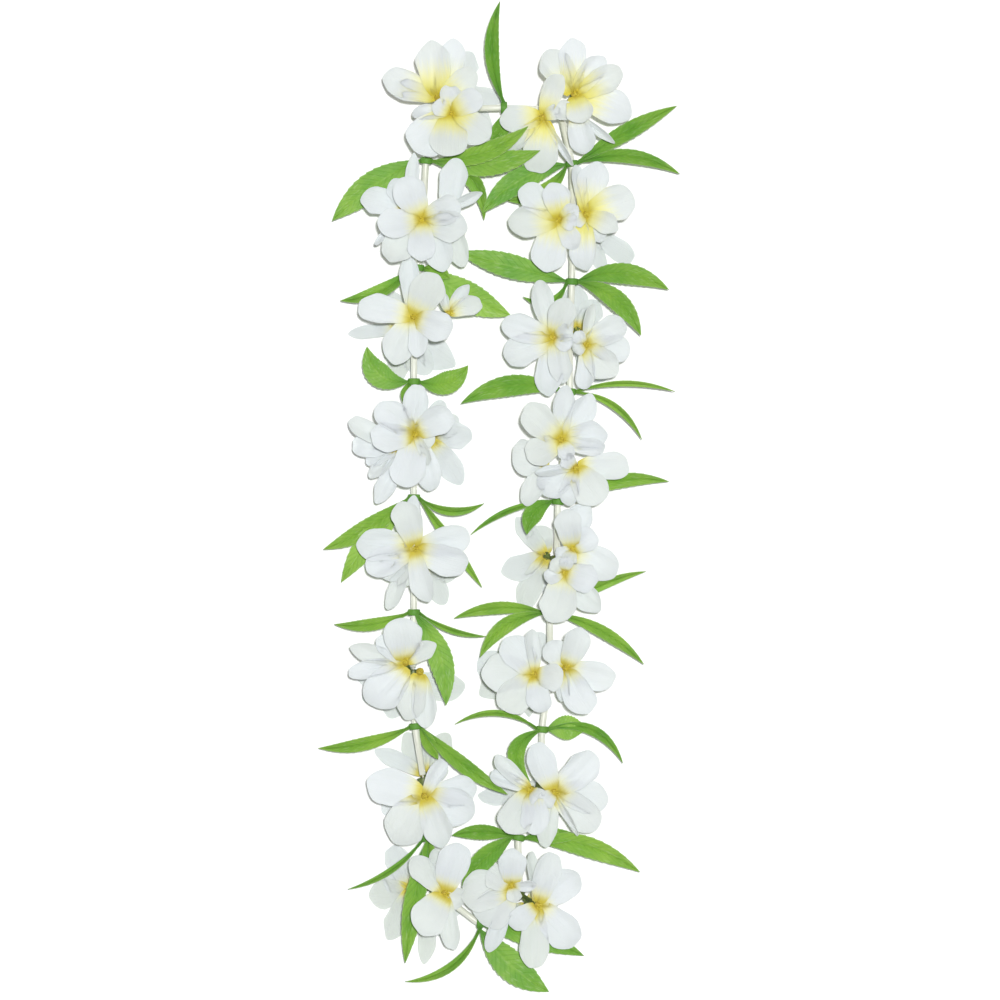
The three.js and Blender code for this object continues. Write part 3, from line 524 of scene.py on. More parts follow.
# Each front flower's yellow throat, in the order of FLOWERS: how far it reaches along the petals as a
# share of their length, and how strong it is.
THROATS = {
    "left_1": [[0.78, 1.0], [0.66, 0.95]], "left_2": [[0.5, 0.7], [0.3, 0.4], [0.3, 0.4]],
    "left_3": [[0.46, 0.65], [0.6, 0.6]], "left_4": [[0.42, 0.65], [0.3, 0.3]],
    "left_5": [[0.46, 0.65], [0.3, 0.3]],
    "left_6": [[0.44, 0.6], [0.5, 0.7]], "left_7": [[0.44, 0.7]], "left_8": [[0.38, 0.65]],
    "right_8": [[0.4, 0.65], [0.42, 0.65]], "right_7": [[0.42, 0.7], [0.42, 0.6]],
    "right_6": [[0.4, 0.65], [0.44, 0.6]], "right_5": [[0.46, 0.65], [0.46, 0.6]],
    "right_4": [[0.5, 0.8], [0.42, 0.65], [0.3, 0.3]], "right_3": [[0.48, 0.65], [0.5, 0.65]],
    "right_2": [[0.66, 0.95], [0.72, 1.0]], "right_1": [[0.74, 1.0], [0.66, 1.0], [0.4, 0.5]],
}
BACK_THROAT = [0.4, 0.45]

# Leaves that are clearly darker or lighter than the rest, by their place in their whorl: 0 is the darkest
# green and 1 the lightest. The darkest ones are partly painted shade, where a leaf lies in shade, and
# partly a leaf's darker back.
LEAF_TONES_AND_SHADE = {
    "left_4": {1: 1.0, 2: 1.0}, "left_6": {0: 0.95}, "left_8": {1: 0.1}, "right_1": {0: 0.0},
    "right_2": {2: 0.0}, "right_3": {0: 0.1}, "right_4": {1: 0.9, 2: 0.9}, "right_6": {2: 0.8, 3: 0.8},
}

CLUSTERS = {name: [Flower(*given) for given in flowers] for name, flowers in FLOWERS.items()}


def swell(s):
    """A parabola that is 0 at both ends and 1 in the middle."""
    return 4 * s * (1 - s)


def smooth(value):
    """Runs evenly from 0 to 1, with soft ends."""
    held = np.clip(value, 0, 1)
    return held * held * (3 - 2 * held)


def unit(vector):
    return vector / np.linalg.norm(vector)


def towards(start, end, distance):
    """The point this far from start on the way to end."""
    return start + unit(end - start) * distance


def route_point(place):
    return np.array([place[0], place[1], CORD_Z], float)


HUB_POINTS = [route_point(HUBS[name]) for name in HUB_NAMES]
WHORL_POINTS = [route_point(WHORLS[name]["at"]) for name in HUB_NAMES]


def corner(before, at, after, leg=CORNER_LEG):
    """A route's bend at a point, rounded from a little before it to a little after it."""
    start, end = towards(at, before, leg), towards(at, after, leg)
    t = np.linspace(0, 1, CORNER_POINTS)[:, None]
    return (1 - t) ** 2 * start + 2 * t * (1 - t) * at + t ** 2 * end


def hub_line(i):
    before, at, after = WHORL_POINTS[i - 1], HUB_POINTS[i], WHORL_POINTS[i]
    half = HUB_LENGTH / 2
    return np.vstack([towards(at, before, half), corner(before, at, after, half * HUB_BEND_SHARE),
                      towards(at, after, half)])


def whorl_bend(i):
    return corner(HUB_POINTS[i], WHORL_POINTS[i], HUB_POINTS[(i + 1) % COUNT])


def tube_line(i):
    """A spacer tube's middle line: from its end at the hub, round the whorl, to the next hub."""
    clear = HUB_RADIUS + TUBE_END_GAP
    start = towards(HUB_POINTS[i], WHORL_POINTS[i], clear)
    end = towards(HUB_POINTS[(i + 1) % COUNT], WHORL_POINTS[i], clear)
    return np.vstack([start, whorl_bend(i), end])


def cord_line():
    """The cord's closed route, through every hub and whorl, with its bends rounded."""
    bends = []
    for i in range(COUNT):
        bends += [corner(WHORL_POINTS[i - 1], HUB_POINTS[i], WHORL_POINTS[i]), whorl_bend(i)]
    return np.vstack(bends)


class Mesh:
    """Gathers one piece's corners and faces, with each corner's place on its sheet and its masks."""

    def __init__(self):
        self.points = []
        self.faces = []
        self.places = []
        self.masks = {}
        self.count = 0

    def add(self, points, faces, places=None, **masks):
        size = len(points)
        self.points.append(np.asarray(points, float))
        self.faces.extend((np.asarray(faces) + self.count).tolist())
        self.places.append(np.zeros((size, 2)) if places is None else places)
        for name, values in masks.items():
            self.masks.setdefault(name, []).append(np.broadcast_to(values, size))
        self.count += size

    def build(self, name, material, sharp_degrees):
        data = bpy.data.meshes.new(name)
        data.from_pydata((np.concatenate(self.points) * MM).tolist(), [], self.faces)
        corners = np.zeros(len(data.loops), np.int32)
        data.loops.foreach_get("vertex_index", corners)
        layer = data.uv_layers.new(name="place")
        layer.data.foreach_set("uv", np.concatenate(self.places)[corners].ravel().astype(np.float32))
        for label, values in self.masks.items():
            attribute = data.attributes.new(label, "FLOAT", "POINT")
            attribute.data.foreach_set("value", np.concatenate(values).astype(np.float32))
        close_poles(data)
        data.shade_smooth()
        data.set_sharp_from_angle(angle=math.radians(sharp_degrees))
        data.materials.append(material)
        return linked(name, data)


def close_poles(data):
    """Merges the corners that share one place, as at the pole of a turned end."""
    shape = bmesh.new()
    shape.from_mesh(data)
    bmesh.ops.remove_doubles(shape, verts=shape.verts, dist=MERGE_DISTANCE)
    shape.to_mesh(data)
    shape.free()


def linked(name, data):
    piece = bpy.data.objects.new(name, data)
    bpy.context.scene.collection.objects.link(piece)
    return piece


def dress(piece, node):
    """The piece rides on the lei and stands for its plain node, which is hidden."""
    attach(piece, "root")
    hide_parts(node)


def normals_of(grid):
    """The upward normal at each point of a grid of points."""
    normal = np.cross(np.gradient(grid, axis=1), np.gradient(grid, axis=0))
    normal /= np.maximum(np.linalg.norm(normal, axis=2, keepdims=True), LEAST_LENGTH)
    return normal if normal[..., 2].sum() > 0 else -normal


def add_sheet(mesh, grid, thickness, places, **masks):
    """Adds a grid of points as a closed sheet of this thickness, no lower than the floor."""
    rows, columns = grid.shape[:2]
    size = rows * columns
    lift = normals_of(grid) * (thickness / 2)
    top, bottom = grid + lift, grid - lift
    sunk = np.maximum(-bottom[..., 2], 0)
    top[..., 2] += sunk
    bottom[..., 2] += sunk
    index = np.arange(size).reshape(rows, columns)
    quads = [index[:-1, :-1], index[:-1, 1:], index[1:, 1:], index[1:, :-1]]
    upper = np.stack(quads, axis=2).reshape(-1, 4)
    rim = np.concatenate([index[0, :], index[1:, -1], index[-1, -2::-1], index[-2:0:-1, 0]])
    ahead = np.roll(rim, -1)
    walls = np.stack([rim, rim + size, ahead + size, ahead], axis=1)
    across = grid[rows // 2, -1] - grid[rows // 2, 0]
    along = grid[-1, columns // 2] - grid[0, columns // 2]
    if np.cross(across, along)[2] < 0:
        upper, walls = upper[:, ::-1], walls[:, ::-1]
    faces = np.concatenate([upper, upper[:, ::-1] + size, walls])
    doubled = {name: np.tile(np.broadcast_to(value, (rows, columns)).ravel(), 2)
               for name, value in masks.items()}
    points = np.concatenate([top.reshape(-1, 3), bottom.reshape(-1, 3)])
    mesh.add(points, faces, np.tile(places.reshape(-1, 2), (2, 1)), **doubled)


def add_rings(mesh, rings, closed, **masks):
    """Adds a skin over rings of points: closed joins the last ring to the first."""
    count, sides = len(rings), len(rings[0])
    faces = []
    for row in range(count if closed else count - 1):
        near, far = row * sides, (row + 1) % count * sides
        for k in range(sides):
            ahead = (k + 1) % sides
            faces.append([near + k, far + k, far + ahead, near + ahead])
    mesh.add(np.concatenate(rings), faces, **masks)


def circle(centre, side, up, radius, sides):
    turn = np.arange(sides)[:, None] / sides * math.tau
    return centre + (np.cos(turn) * side + np.sin(turn) * up) * radius


def add_pipe(mesh, line, outer, inner, rounding, sides, **masks):
    """Adds a pipe along a level line, with rounded ends."""
    ways = np.gradient(line, axis=0)
    up = np.array([0, 0, 1])
    frames = [(point, unit(np.cross(way, up)), unit(way)) for point, way in zip(line, ways)]

    def ring(k, radius, back=0):
        point, side, way = frames[k]
        return circle(point + way * back, side, -up, radius, sides)

    last = len(line) - 1
    rings = [ring(0, inner), ring(0, outer - rounding), ring(0, outer, rounding)]
    rings += [ring(k, outer) for k in range(1, last)]
    rings += [ring(last, outer, -rounding), ring(last, outer - rounding), ring(last, inner)]
    rings += [ring(k, inner) for k in range(last - 1, 0, -1)]
    add_rings(mesh, rings, True, **masks)


def add_turned(mesh, start, end, profile, sides):
    """Adds a rod turned about the line from start to end. profile: [distance from start, radius]."""
    way = unit(end - start)
    side = unit(np.cross(way, OFF_AXIS))
    up = np.cross(way, side)
    rings = [circle(start + way * distance, side, up, radius, sides) for distance, radius in profile]
    add_rings(mesh, rings, False)


def petal_turn(petal):
    """The way a petal points, as an angle round the eye."""
    return math.atan2(petal.along, petal.across)


def rise_for(reach):
    """What a petal loses of its length in the plan goes into its height."""
    lost = math.sqrt(max(PETAL_LENGTH ** 2 - reach ** 2, 0))
    return min(lost * RISE_SHARE, MOST_RISE)


def petal_outline(pointed=0.0, ripple=0.0, phase=0.0):
    """How far along the petal each point of its grid is, its share of the half width and its rim mask."""
    u = np.linspace(0, 1, PETAL_ROWS)[:, None]
    v = np.sin(np.linspace(-1, 1, PETAL_COLUMNS) * math.pi / 2)[None, :]
    side = PETAL_ROOT_SHARE + (PETAL_WIDEST_SHARE - PETAL_ROOT_SHARE) * u
    width = side ** ROOT_TAPER * np.sqrt(1 - side ** SIDE_FALL) / OUTLINE_PEAK
    cap = (1 - PETAL_WIDEST_SHARE) * np.sqrt(1 - TIP_FLATNESS * v * v) * (1 - pointed * v * v)
    uneven = ripple * np.sin(RIPPLES * v + phase) * np.cos(v * math.pi / 2)
    s = side + cap * u ** CAP_SWELL + uneven * u ** RIPPLE_SWELL
    return s, width * v, np.maximum(np.abs(v), u)


ALONG, SHARE, RIM = petal_outline()


def petal_grid(flower, petal, floor, draw):
    """The middle surface of one petal: its rows run from the eye to the tip, its columns across."""
    front = flower.side == "front"
    pointed = draw.uniform(*POINTED[flower.side])
    s, share, _ = petal_outline(pointed, draw.uniform(*RIPPLE_HEIGHT), draw.uniform(0, math.tau))
    reach, turn = math.hypot(petal.across, petal.along), petal_turn(petal)
    heading = np.array([math.cos(turn), math.sin(turn)])
    sideways = np.array([-heading[1], heading[0]])
    width = petal.width * draw.uniform(*WIDTH_SHARE)
    size = min(reach / PETAL_LENGTH, width / WIDE_PETAL, 1)
    wave_count, wave_phase = draw.uniform(*WAVE_COUNT), draw.uniform(0, math.tau)
    wave_height = draw.uniform(*WAVE_HEIGHT) * size
    left_curl, right_curl = draw.uniform(*SIDE_CURL) * size, draw.uniform(*SIDE_CURL) * size
    tip_curl = draw.uniform(*TIP_CURL) * size
    sway = draw.uniform(*SWAY) * size
    pleats = draw.uniform(*PLEAT_HEIGHT) * size
    edge_phase, edge_count = draw.uniform(0, math.tau), draw.uniform(*EDGE_COUNT)
    taper = draw.uniform(*TIP_TAPER)
    lean = math.radians(draw.uniform(*LEAN_DEGREES))
    edge = 1 + EDGE_WAVE * np.sin(edge_count * math.tau * s + edge_phase + np.sign(share)) * s
    half = width / 2 * share * edge * (1 - taper * smooth((s - TAPER_FROM) / (1 - TAPER_FROM)))
    roll = math.radians(petal.roll) + (lean if front else lean / BACK_STIFFNESS)
    rim = np.abs(share)
    curl = np.where(share > 0, left_curl, right_curl) * np.clip(rim - CURL_FROM, 0, 1) ** CURL_POWER
    waves = wave_height * np.sin(wave_count * math.tau * s + wave_phase + share) * rim ** WAVE_POWER * s
    folds = pleats * np.cos(share * math.pi * FOLDS + wave_phase) * swell(s)
    crease = -CREASE_DEPTH * np.exp(-(share / CREASE_WIDTH) ** 2) * smooth((CREASE_END - s) / CREASE_FADE)
    end = tip_curl * np.clip((s - TIP_CURL_FROM) / (1 - TIP_CURL_FROM), 0, 1) ** 2
    aside = half * math.cos(roll) + sway * swell(s)
    grid = np.zeros(s.shape + (3,))
    grid[..., :2] = flower.eye + heading * (reach * s)[..., None] + sideways * aside[..., None]
    if front:
        rise = rise_for(reach) if petal.rise is None else petal.rise
        z = FRONT_EYE_Z + rise * s ** RISE_CURVE + FRONT_BULGE * swell(s) + FRONT_CUP * share ** 2
        z += curl + waves + folds + crease + end + half * math.sin(roll) * s
        grid[..., 2] = np.maximum(z, FRONT_FLOOR_Z)
    else:
        z = BACK_EYE_Z + (floor - BACK_EYE_Z) * smooth(s / BACK_LANDING)
        proud = np.maximum(curl, 0) + np.abs(waves) + PROUD_SHARE * (np.abs(folds) + np.maximum(end, 0))
        grid[..., 2] = np.clip(z + proud + half * math.sin(roll) * s, floor, BACK_CEILING_Z)
    return grid


def petal_throats(name):
    """Each flower of a cluster with its floor and its throat."""
    throats = iter(THROATS[name])
    below = 0
    for flower in CLUSTERS[name]:
        if flower.side == "front":
            yield flower, FRONT_FLOOR_Z, next(throats)
        else:
            yield flower, LOWEST_SHEET_Z + below * BACK_STEP, BACK_THROAT
            below += 1


def flower_petals(name, material, draw):
    mesh = Mesh()
    place = np.stack(np.broadcast_arrays(SHARE * 0.5 + 0.5, ALONG), axis=2)
    for flower, floor, (throat_reach, throat_strength) in petal_throats(name):
        for petal in sorted((Petal(*given) for given in flower.petals), key=petal_turn):
            grid = petal_grid(flower, petal, floor, draw)
            strength = throat_strength * draw.uniform(*THROAT_VARIETY)
            add_sheet(mesh, grid, PETAL_THICKNESS, place, rim=RIM, throat_reach=throat_reach,
                      throat_strength=strength, tone=draw.random(), behind=flower.side == "back")
    return mesh.build(f"flower_petals_{name}", material, PETAL_SHARP)


def leaf_root(centre, way, tip):
    """A leaf springs from the collar's side, or from its top where it runs along the tube."""
    out = unit(np.array([tip[0] - centre[0], tip[1] - centre[1], 0]))
    beside = np.array([-way[1], way[0], 0])
    side = out @ beside
    if abs(side) < LEAF_TOP_SHARE:
        return centre + np.array([0, 0, LEAF_SEAT])
    return centre + beside * math.copysign(LEAF_SEAT, side)


def leaf_outline():
    """How far along the leaf each point of its grid is, and its share of the half width."""
    rows = LEAF_TEETH * ROWS_PER_TOOTH + 1
    s = np.linspace(0, 1, rows)[:, None]
    v = np.linspace(-1, 1, LEAF_COLUMNS)[None, :]
    blade = np.sin(math.pi * s ** BLADE_SKEW) ** BLADE_FULLNESS
    saw = (np.arange(rows) % ROWS_PER_TOOTH / ROWS_PER_TOOTH)[:, None]
    notch = 1 - TOOTH_DEPTH * (1 - saw) * np.abs(v) ** TOOTH_POWER * smooth(s / STALK_SHARE)
    return np.broadcast_to(s, (rows, LEAF_COLUMNS)), blade, v * notch


LEAF_ALONG, LEAF_BLADE, LEAF_SHARE = leaf_outline()


def leaf_grid(centre, way, leaf, draw):
    """The middle surface of one leaf, with its teeth, its fold and its pleats between the veins."""
    s, share = LEAF_ALONG, LEAF_SHARE
    end = np.array(leaf.tip, float)
    root = leaf_root(centre, way, end)
    heading = unit(np.array([end[0] - root[0], end[1] - root[1], 0]))
    left = np.array([-heading[1], heading[0], 0])
    twist = draw.uniform(-MOST_TWIST, MOST_TWIST)
    droop = draw.uniform(-MOST_DROOP, MOST_DROOP)

    def midrib(t):
        line = root + (end - root) * t[..., None] + left * (leaf.bow * swell(t))[..., None]
        line[..., 2] += leaf.arch * swell(t) + droop * swell(t) * np.sin(t * math.tau)
        return line

    ahead = midrib(np.minimum(s + SMALL_STEP, 1)) - midrib(np.maximum(s - SMALL_STEP, 0))
    sideways = np.stack([-ahead[..., 1], ahead[..., 0], np.zeros(s.shape)], axis=2)
    sideways /= np.linalg.norm(sideways, axis=2, keepdims=True)
    half = np.maximum(leaf.width / 2 * LEAF_BLADE, STALK_HALF_WIDTH * (1 - s)) * share
    fold = math.sqrt(max(1 - (leaf.width / FLAT_LEAF_WIDTH) ** 2, 0)) * MOST_FOLD + LEAF_FOLD
    pleat = np.abs(2 * ((s * LEAF_TEETH - np.abs(share) * VEIN_SLANT) % 1) - 1) - 0.5
    pleat *= PLEAT_DEPTH * np.minimum(np.abs(share) * PLEAT_RISE, 1)
    pleat *= smooth((1 - s) / TIP_FADE) * smooth(s / STALK_SHARE)
    rib = -RIB_DEPTH * np.exp(-(share / RIB_WIDTH) ** 2)
    roll = math.radians(leaf.roll)
    grid = midrib(s) + sideways * (half * math.cos(roll))[..., None]
    lift = np.sin(roll + twist * (s - TWIST_FROM)) * np.sin(math.pi * s)
    grid[..., 2] += half * lift + fold * np.abs(half) + pleat + rib
    return grid


def leaves(name, i, material, draw):
    mesh = Mesh()
    start, *_, end = tube_line(i)
    way = unit(end - start)
    place = np.stack(np.broadcast_arrays(LEAF_SHARE * 0.5 + 0.5, LEAF_ALONG), axis=2)
    # Some leaves get a set tone; for the darkest this is partly painted shade.
    tones_and_shade = LEAF_TONES_AND_SHADE.get(name, {})
    for k, given in enumerate(WHORLS[name]["leaves"]):
        grid = leaf_grid(WHORL_POINTS[i], way, Leaf(*given), draw)
        drawn = draw.random()
        add_sheet(mesh, grid, LEAF_THICKNESS, place, tone=tones_and_shade.get(k, drawn))
    centre = whorl_bend(i)[CORNER_POINTS // 2]
    collar = centre + np.linspace(-0.5, 0.5, COLLAR_RINGS)[:, None] * way * COLLAR_LENGTH
    add_pipe(mesh, collar, COLLAR_OUTER_RADIUS, COLLAR_INNER_RADIUS, COLLAR_ROUNDING, HUB_SIDES,
             tone=COLLAR_TONE)
    return mesh.build(f"leaves_{name}", material, LEAF_SHARP)


def spacer_tube(name, i, material):
    mesh = Mesh()
    add_pipe(mesh, tube_line(i), TUBE_OUTER_RADIUS, TUBE_INNER_RADIUS, TUBE_ROUNDING, TUBE_SIDES)
    return mesh.build(f"tube_{name}", material, TUBE_SHARP)


def eye_place(flower):
    return np.array([*flower.eye, FRONT_EYE_Z if flower.side == "front" else BACK_EYE_Z], float)


def flower_hub(name, i, material):
    """The green hub: a pipe on the cord, and a prong with a cup at its end for each flower."""
    mesh = Mesh()
    add_pipe(mesh, hub_line(i), HUB_RADIUS, HUB_BORE_RADIUS, HUB_ROUNDING, HUB_SIDES)
    for flower in CLUSTERS[name]:
        eye = eye_place(flower)
        start = towards(HUB_POINTS[i], eye, PRONG_START)
        length = np.linalg.norm(eye - start)
        cup = [[length - back, radius] for back, radius in CALYX]
        add_turned(mesh, start, eye, [[0, 0], [0, PRONG_RADIUS]] + cup, PRONG_SIDES)
    return mesh.build(f"flower_hub_{name}", material, HUB_SHARP)


def add_node(tree, kind, inputs=None, **settings):
    """A node with its settings, and with its inputs given as values or as what feeds them."""
    node = tree.nodes.new(kind)
    for name, value in settings.items():
        setattr(node, name, value)
    for key, value in (inputs or {}).items():
        if isinstance(value, bpy.types.NodeSocket):
            tree.links.new(value, node.inputs[key])
        else:
            node.inputs[key].default_value = value
    return node


def new_tree(name, kind, inputs, output, output_kind):
    """A node group with one output and with inputs, each (name, kind, value). Gives it and their sockets."""
    tree = bpy.data.node_groups.new(name, f"{kind}NodeTree")
    for label, socket_kind, value in inputs:
        socket = tree.interface.new_socket(label, in_out="INPUT", socket_type=f"NodeSocket{socket_kind}")
        if value is not None:
            socket.default_value = value
    tree.interface.new_socket(output, in_out="OUTPUT", socket_type=f"NodeSocket{output_kind}")
    return tree, add_node(tree, "NodeGroupInput").outputs


def maths(tree, operation, a, b=0.0, c=0.0, clamp=False):
    node = add_node(tree, "ShaderNodeMath", {0: a, 1: b, 2: c}, operation=operation, use_clamp=clamp)
    return node.outputs[0]


def split(tree, vector):
    """The three outputs of a vector, X, Y and Z."""
    return add_node(tree, "ShaderNodeSeparateXYZ", {0: vector}).outputs


def joined(tree, *shapes):
    node = add_node(tree, "GeometryNodeJoinGeometry")
    for shape in shapes:
        tree.links.new(shape, node.inputs[0])
    return node.outputs[0]


def end_tree(tree, shape, material):
    """Ends a geometry tree: its copies made real, with the material on them."""
    real = add_node(tree, "GeometryNodeRealizeInstances", {"Geometry": shape})
    finished = add_node(tree, "GeometryNodeSetMaterial", {"Geometry": real.outputs[0], "Material": material})
    add_node(tree, "NodeGroupOutput", {0: finished.outputs[0]})
    return tree


def grown(piece, tree, material, values):
    """The piece with what the tree grows on it, as a plain mesh."""
    modifier = piece.modifiers.new("grow", "NODES")
    modifier.node_group = tree
    names = {item.name: item.identifier for item in tree.interface.items_tree if item.in_out == "INPUT"}
    for name, value in values.items():
        modifier[names[name]] = value
    modifier[names["Finish"]] = material
    bpy.context.view_layer.update()
    evaluated = piece.evaluated_get(bpy.context.evaluated_depsgraph_get())
    data = bpy.data.meshes.new_from_object(evaluated)
    piece.modifiers.clear()
    plain = piece.data
    piece.data = data
    bpy.data.meshes.remove(plain)
    data.name = piece.name
    return piece


def stamen_tree():
    """Short stamens with a knob at the end of each, over the faces of a small dome."""
    tree, given = new_tree("stamens over a dome", "Geometry", [
        ("Dome", "Geometry", None), ("Stamens per Area", "Float", STAMENS_PER_AREA),
        ("Length", "Float", STAMEN_LENGTH * MM), ("Thickness", "Float", STAMEN_RADIUS * MM),
        ("Knob", "Float", KNOB_RADIUS * MM), ("Spread", "Float", STAMEN_SPREAD), ("Seed", "Int", SEED),
        ("Finish", "Material", None)], "Eye", "Geometry")
    stem = add_node(tree, "GeometryNodeMeshCone", {
        "Vertices": 4, "Side Segments": 2, "Radius Top": given["Thickness"],
        "Radius Bottom": given["Thickness"], "Depth": given["Length"]})
    ball = add_node(tree, "GeometryNodeMeshIcoSphere", {"Radius": given["Knob"], "Subdivisions": 1})
    lift = add_node(tree, "ShaderNodeCombineXYZ", {"Z": given["Length"]})
    knob = add_node(tree, "GeometryNodeTransform", {
        "Geometry": ball.outputs["Mesh"], "Translation": lift.outputs[0], "Scale": (1, 1, KNOB_STRETCH)})
    height = split(tree, add_node(tree, "GeometryNodeInputPosition").outputs[0])["Z"]
    marked = add_node(tree, "GeometryNodeStoreNamedAttribute", {
        "Geometry": joined(tree, stem.outputs["Mesh"], knob.outputs["Geometry"]), "Name": "tip",
        "Value": maths(tree, "DIVIDE", height, given["Length"])}, data_type="FLOAT", domain="POINT")
    spots = add_node(tree, "GeometryNodeDistributePointsOnFaces", {
        "Mesh": given["Dome"], "Density": given["Stamens per Area"], "Seed": given["Seed"]})
    upright = add_node(tree, "FunctionNodeAlignRotationToVector", {
        "Vector": spots.outputs["Normal"]}, axis="Z")
    less = maths(tree, "MULTIPLY", given["Spread"], -1.0)
    low = add_node(tree, "ShaderNodeCombineXYZ", {"X": less, "Y": less})
    high = add_node(tree, "ShaderNodeCombineXYZ", {"X": given["Spread"], "Y": given["Spread"]})
    sway = add_node(tree, "FunctionNodeRandomValue", {
        0: low.outputs[0], 1: high.outputs[0], "Seed": given["Seed"]}, data_type="FLOAT_VECTOR")
    least, most = STAMEN_SIZES
    sizes = add_node(tree, "FunctionNodeRandomValue", {
        2: least, 3: most, "Seed": given["Seed"]}, data_type="FLOAT")
    copies = add_node(tree, "GeometryNodeInstanceOnPoints", {
        "Points": spots.outputs["Points"], "Instance": marked.outputs["Geometry"],
        "Rotation": upright.outputs[0], "Scale": sizes.outputs[1]})
    swayed = add_node(tree, "GeometryNodeRotateInstances", {
        "Instances": copies.outputs[0], "Rotation": sway.outputs[0]})
    return end_tree(tree, joined(tree, given["Dome"], swayed.outputs[0]), given["Finish"])


def cord_tree():
    """A cord of twisted strands along a closed line."""
    tree, given = new_tree("twisted cord along a line", "Geometry", [
        ("Line", "Geometry", None), ("Radius", "Float", CORD_RADIUS * MM),
        ("Turns per Metre", "Float", 1 / (CORD_PITCH * MM)), ("Step", "Float", CORD_STEP * MM),
        ("Strands", "Int", CORD_STRANDS), ("Finish", "Material", None)], "Cord", "Geometry")
    line = add_node(tree, "GeometryNodeMeshToCurve", {"Mesh": given["Line"]})
    even = add_node(tree, "GeometryNodeResampleCurve", {
        "Curve": line.outputs[0], "Length": given["Step"]}, mode="LENGTH")
    run = add_node(tree, "GeometryNodeSplineParameter").outputs["Length"]
    tilt = maths(tree, "MULTIPLY", run, maths(tree, "MULTIPLY", given["Turns per Metre"], math.tau))
    twisted = add_node(tree, "GeometryNodeSetCurveTilt", {"Curve": even.outputs[0], "Tilt": tilt})
    ring = add_node(tree, "GeometryNodeCurvePrimitiveCircle", {
        "Resolution": CORD_SIDES, "Radius": given["Radius"]})
    place = add_node(tree, "GeometryNodeInputPosition").outputs[0]
    parts = split(tree, place)
    turn = maths(tree, "ARCTAN2", parts["Y"], parts["X"])
    wave = maths(tree, "COSINE", maths(tree, "MULTIPLY", turn, given["Strands"]))
    size = maths(tree, "MULTIPLY_ADD", wave, STRAND_GROOVE, STRAND_MIDDLE)
    grooved = add_node(tree, "ShaderNodeVectorMath", {0: place, "Scale": size}, operation="SCALE")
    section = add_node(tree, "GeometryNodeSetPosition", {
        "Geometry": ring.outputs[0], "Position": grooved.outputs[0]})
    swept = add_node(tree, "GeometryNodeCurveToMesh", {
        "Curve": twisted.outputs[0], "Profile Curve": section.outputs[0]})
    return end_tree(tree, swept.outputs[0], given["Finish"])


def flower_eyes(name, i, tree, material):
    """A gold tuft of stamens in the middle of each flower of a cluster, and one for two eyes together."""
    mesh = Mesh()
    eyes = []
    foot = [[EYE_BASE - EYE_SUNK, 0], [EYE_BASE - EYE_SUNK, EYE_FOOT_RADIUS]]
    dome = [[EYE_BASE + EYE_DOME_HEIGHT * math.sin(a), EYE_DOME_RADIUS * math.cos(a)]
            for a in np.linspace(0, math.pi / 2, EYE_DOME_RINGS)]
    for flower in CLUSTERS[name]:
        eye = eye_place(flower)
        if any(np.linalg.norm(eye - other) < EYES_APART for other in eyes):
            continue
        eyes.append(eye)
        upright = np.array([0, 0, 1 if flower.side == "front" else -1])
        way = unit(unit(eye - HUB_POINTS[i]) + upright)
        add_turned(mesh, eye, eye + way, foot + dome, EYE_SIDES)
    piece = mesh.build(f"flower_eyes_{name}", material, HUB_SHARP)
    return grown(piece, tree, material, {"Seed": SEED + i})


def cord(tree, material):
    line = cord_line()
    data = bpy.data.meshes.new("cord_twisted")
    edges = [(k, (k + 1) % len(line)) for k in range(len(line))]
    data.from_pydata((line * MM).tolist(), edges, [])
    length = np.linalg.norm(np.roll(line, -1, axis=0) - line, axis=1).sum() * MM
    strand_turns = round(length / (CORD_PITCH * MM) * CORD_STRANDS)
    values = {"Turns per Metre": strand_turns / CORD_STRANDS / length}
    return grown(linked("cord_twisted", data), tree, material, values)


def ramp(tree, value, low, high, to_low=0.0, to_high=1.0):
    """Runs smoothly from to_low to to_high as value goes from low to high."""
    node = add_node(tree, "ShaderNodeMapRange", {
        "Value": value, "From Min": low, "From Max": high, "To Min": to_low, "To Max": to_high},
        interpolation_type="SMOOTHSTEP")
    return node.outputs["Result"]


def mixed(tree, share, a, b):
    node = add_node(tree, "ShaderNodeMix", {0: share, 6: a, 7: b}, data_type="RGBA")
    return node.outputs[2]


def weave_group():
    """The fabric's fine crossing threads, as a height."""
    tree, given = new_tree("crossing threads", "Shader", [
        ("Place", "Vector", None), ("Threads per Metre", "Float", None)], "Height", "Float")
    parts = split(tree, given["Place"])
    rate = maths(tree, "MULTIPLY", given["Threads per Metre"], math.pi)
    warp = maths(tree, "SINE", maths(tree, "MULTIPLY", parts["X"], rate))
    weft = maths(tree, "SINE", maths(tree, "MULTIPLY", parts["Y"], rate))
    height = maths(tree, "MULTIPLY_ADD", maths(tree, "MULTIPLY", warp, weft), 0.5, 0.5)
    add_node(tree, "NodeGroupOutput", {0: height})
    return tree


def streak_group():
    """Fine uneven streaks along a petal or a leaf."""
    tree, given = new_tree("fine streaks", "Shader", [
        ("Place", "Vector", None), ("Streaks", "Float", None), ("Length", "Float", None),
        ("Shift", "Float", None)], "Value", "Float")
    parts = split(tree, given["Place"])
    across = maths(tree, "MULTIPLY", parts["X"], given["Streaks"])
    along = maths(tree, "MULTIPLY", parts["Y"], given["Length"])
    place = add_node(tree, "ShaderNodeCombineXYZ", {"X": across, "Y": along, "Z": given["Shift"]})
    noise = add_node(tree, "ShaderNodeTexNoise", {
        "Vector": place.outputs[0], "Scale": 1.0, "Detail": 2.0, "Roughness": 0.5})
    add_node(tree, "NodeGroupOutput", {0: noise.outputs["Fac"]})
    return tree


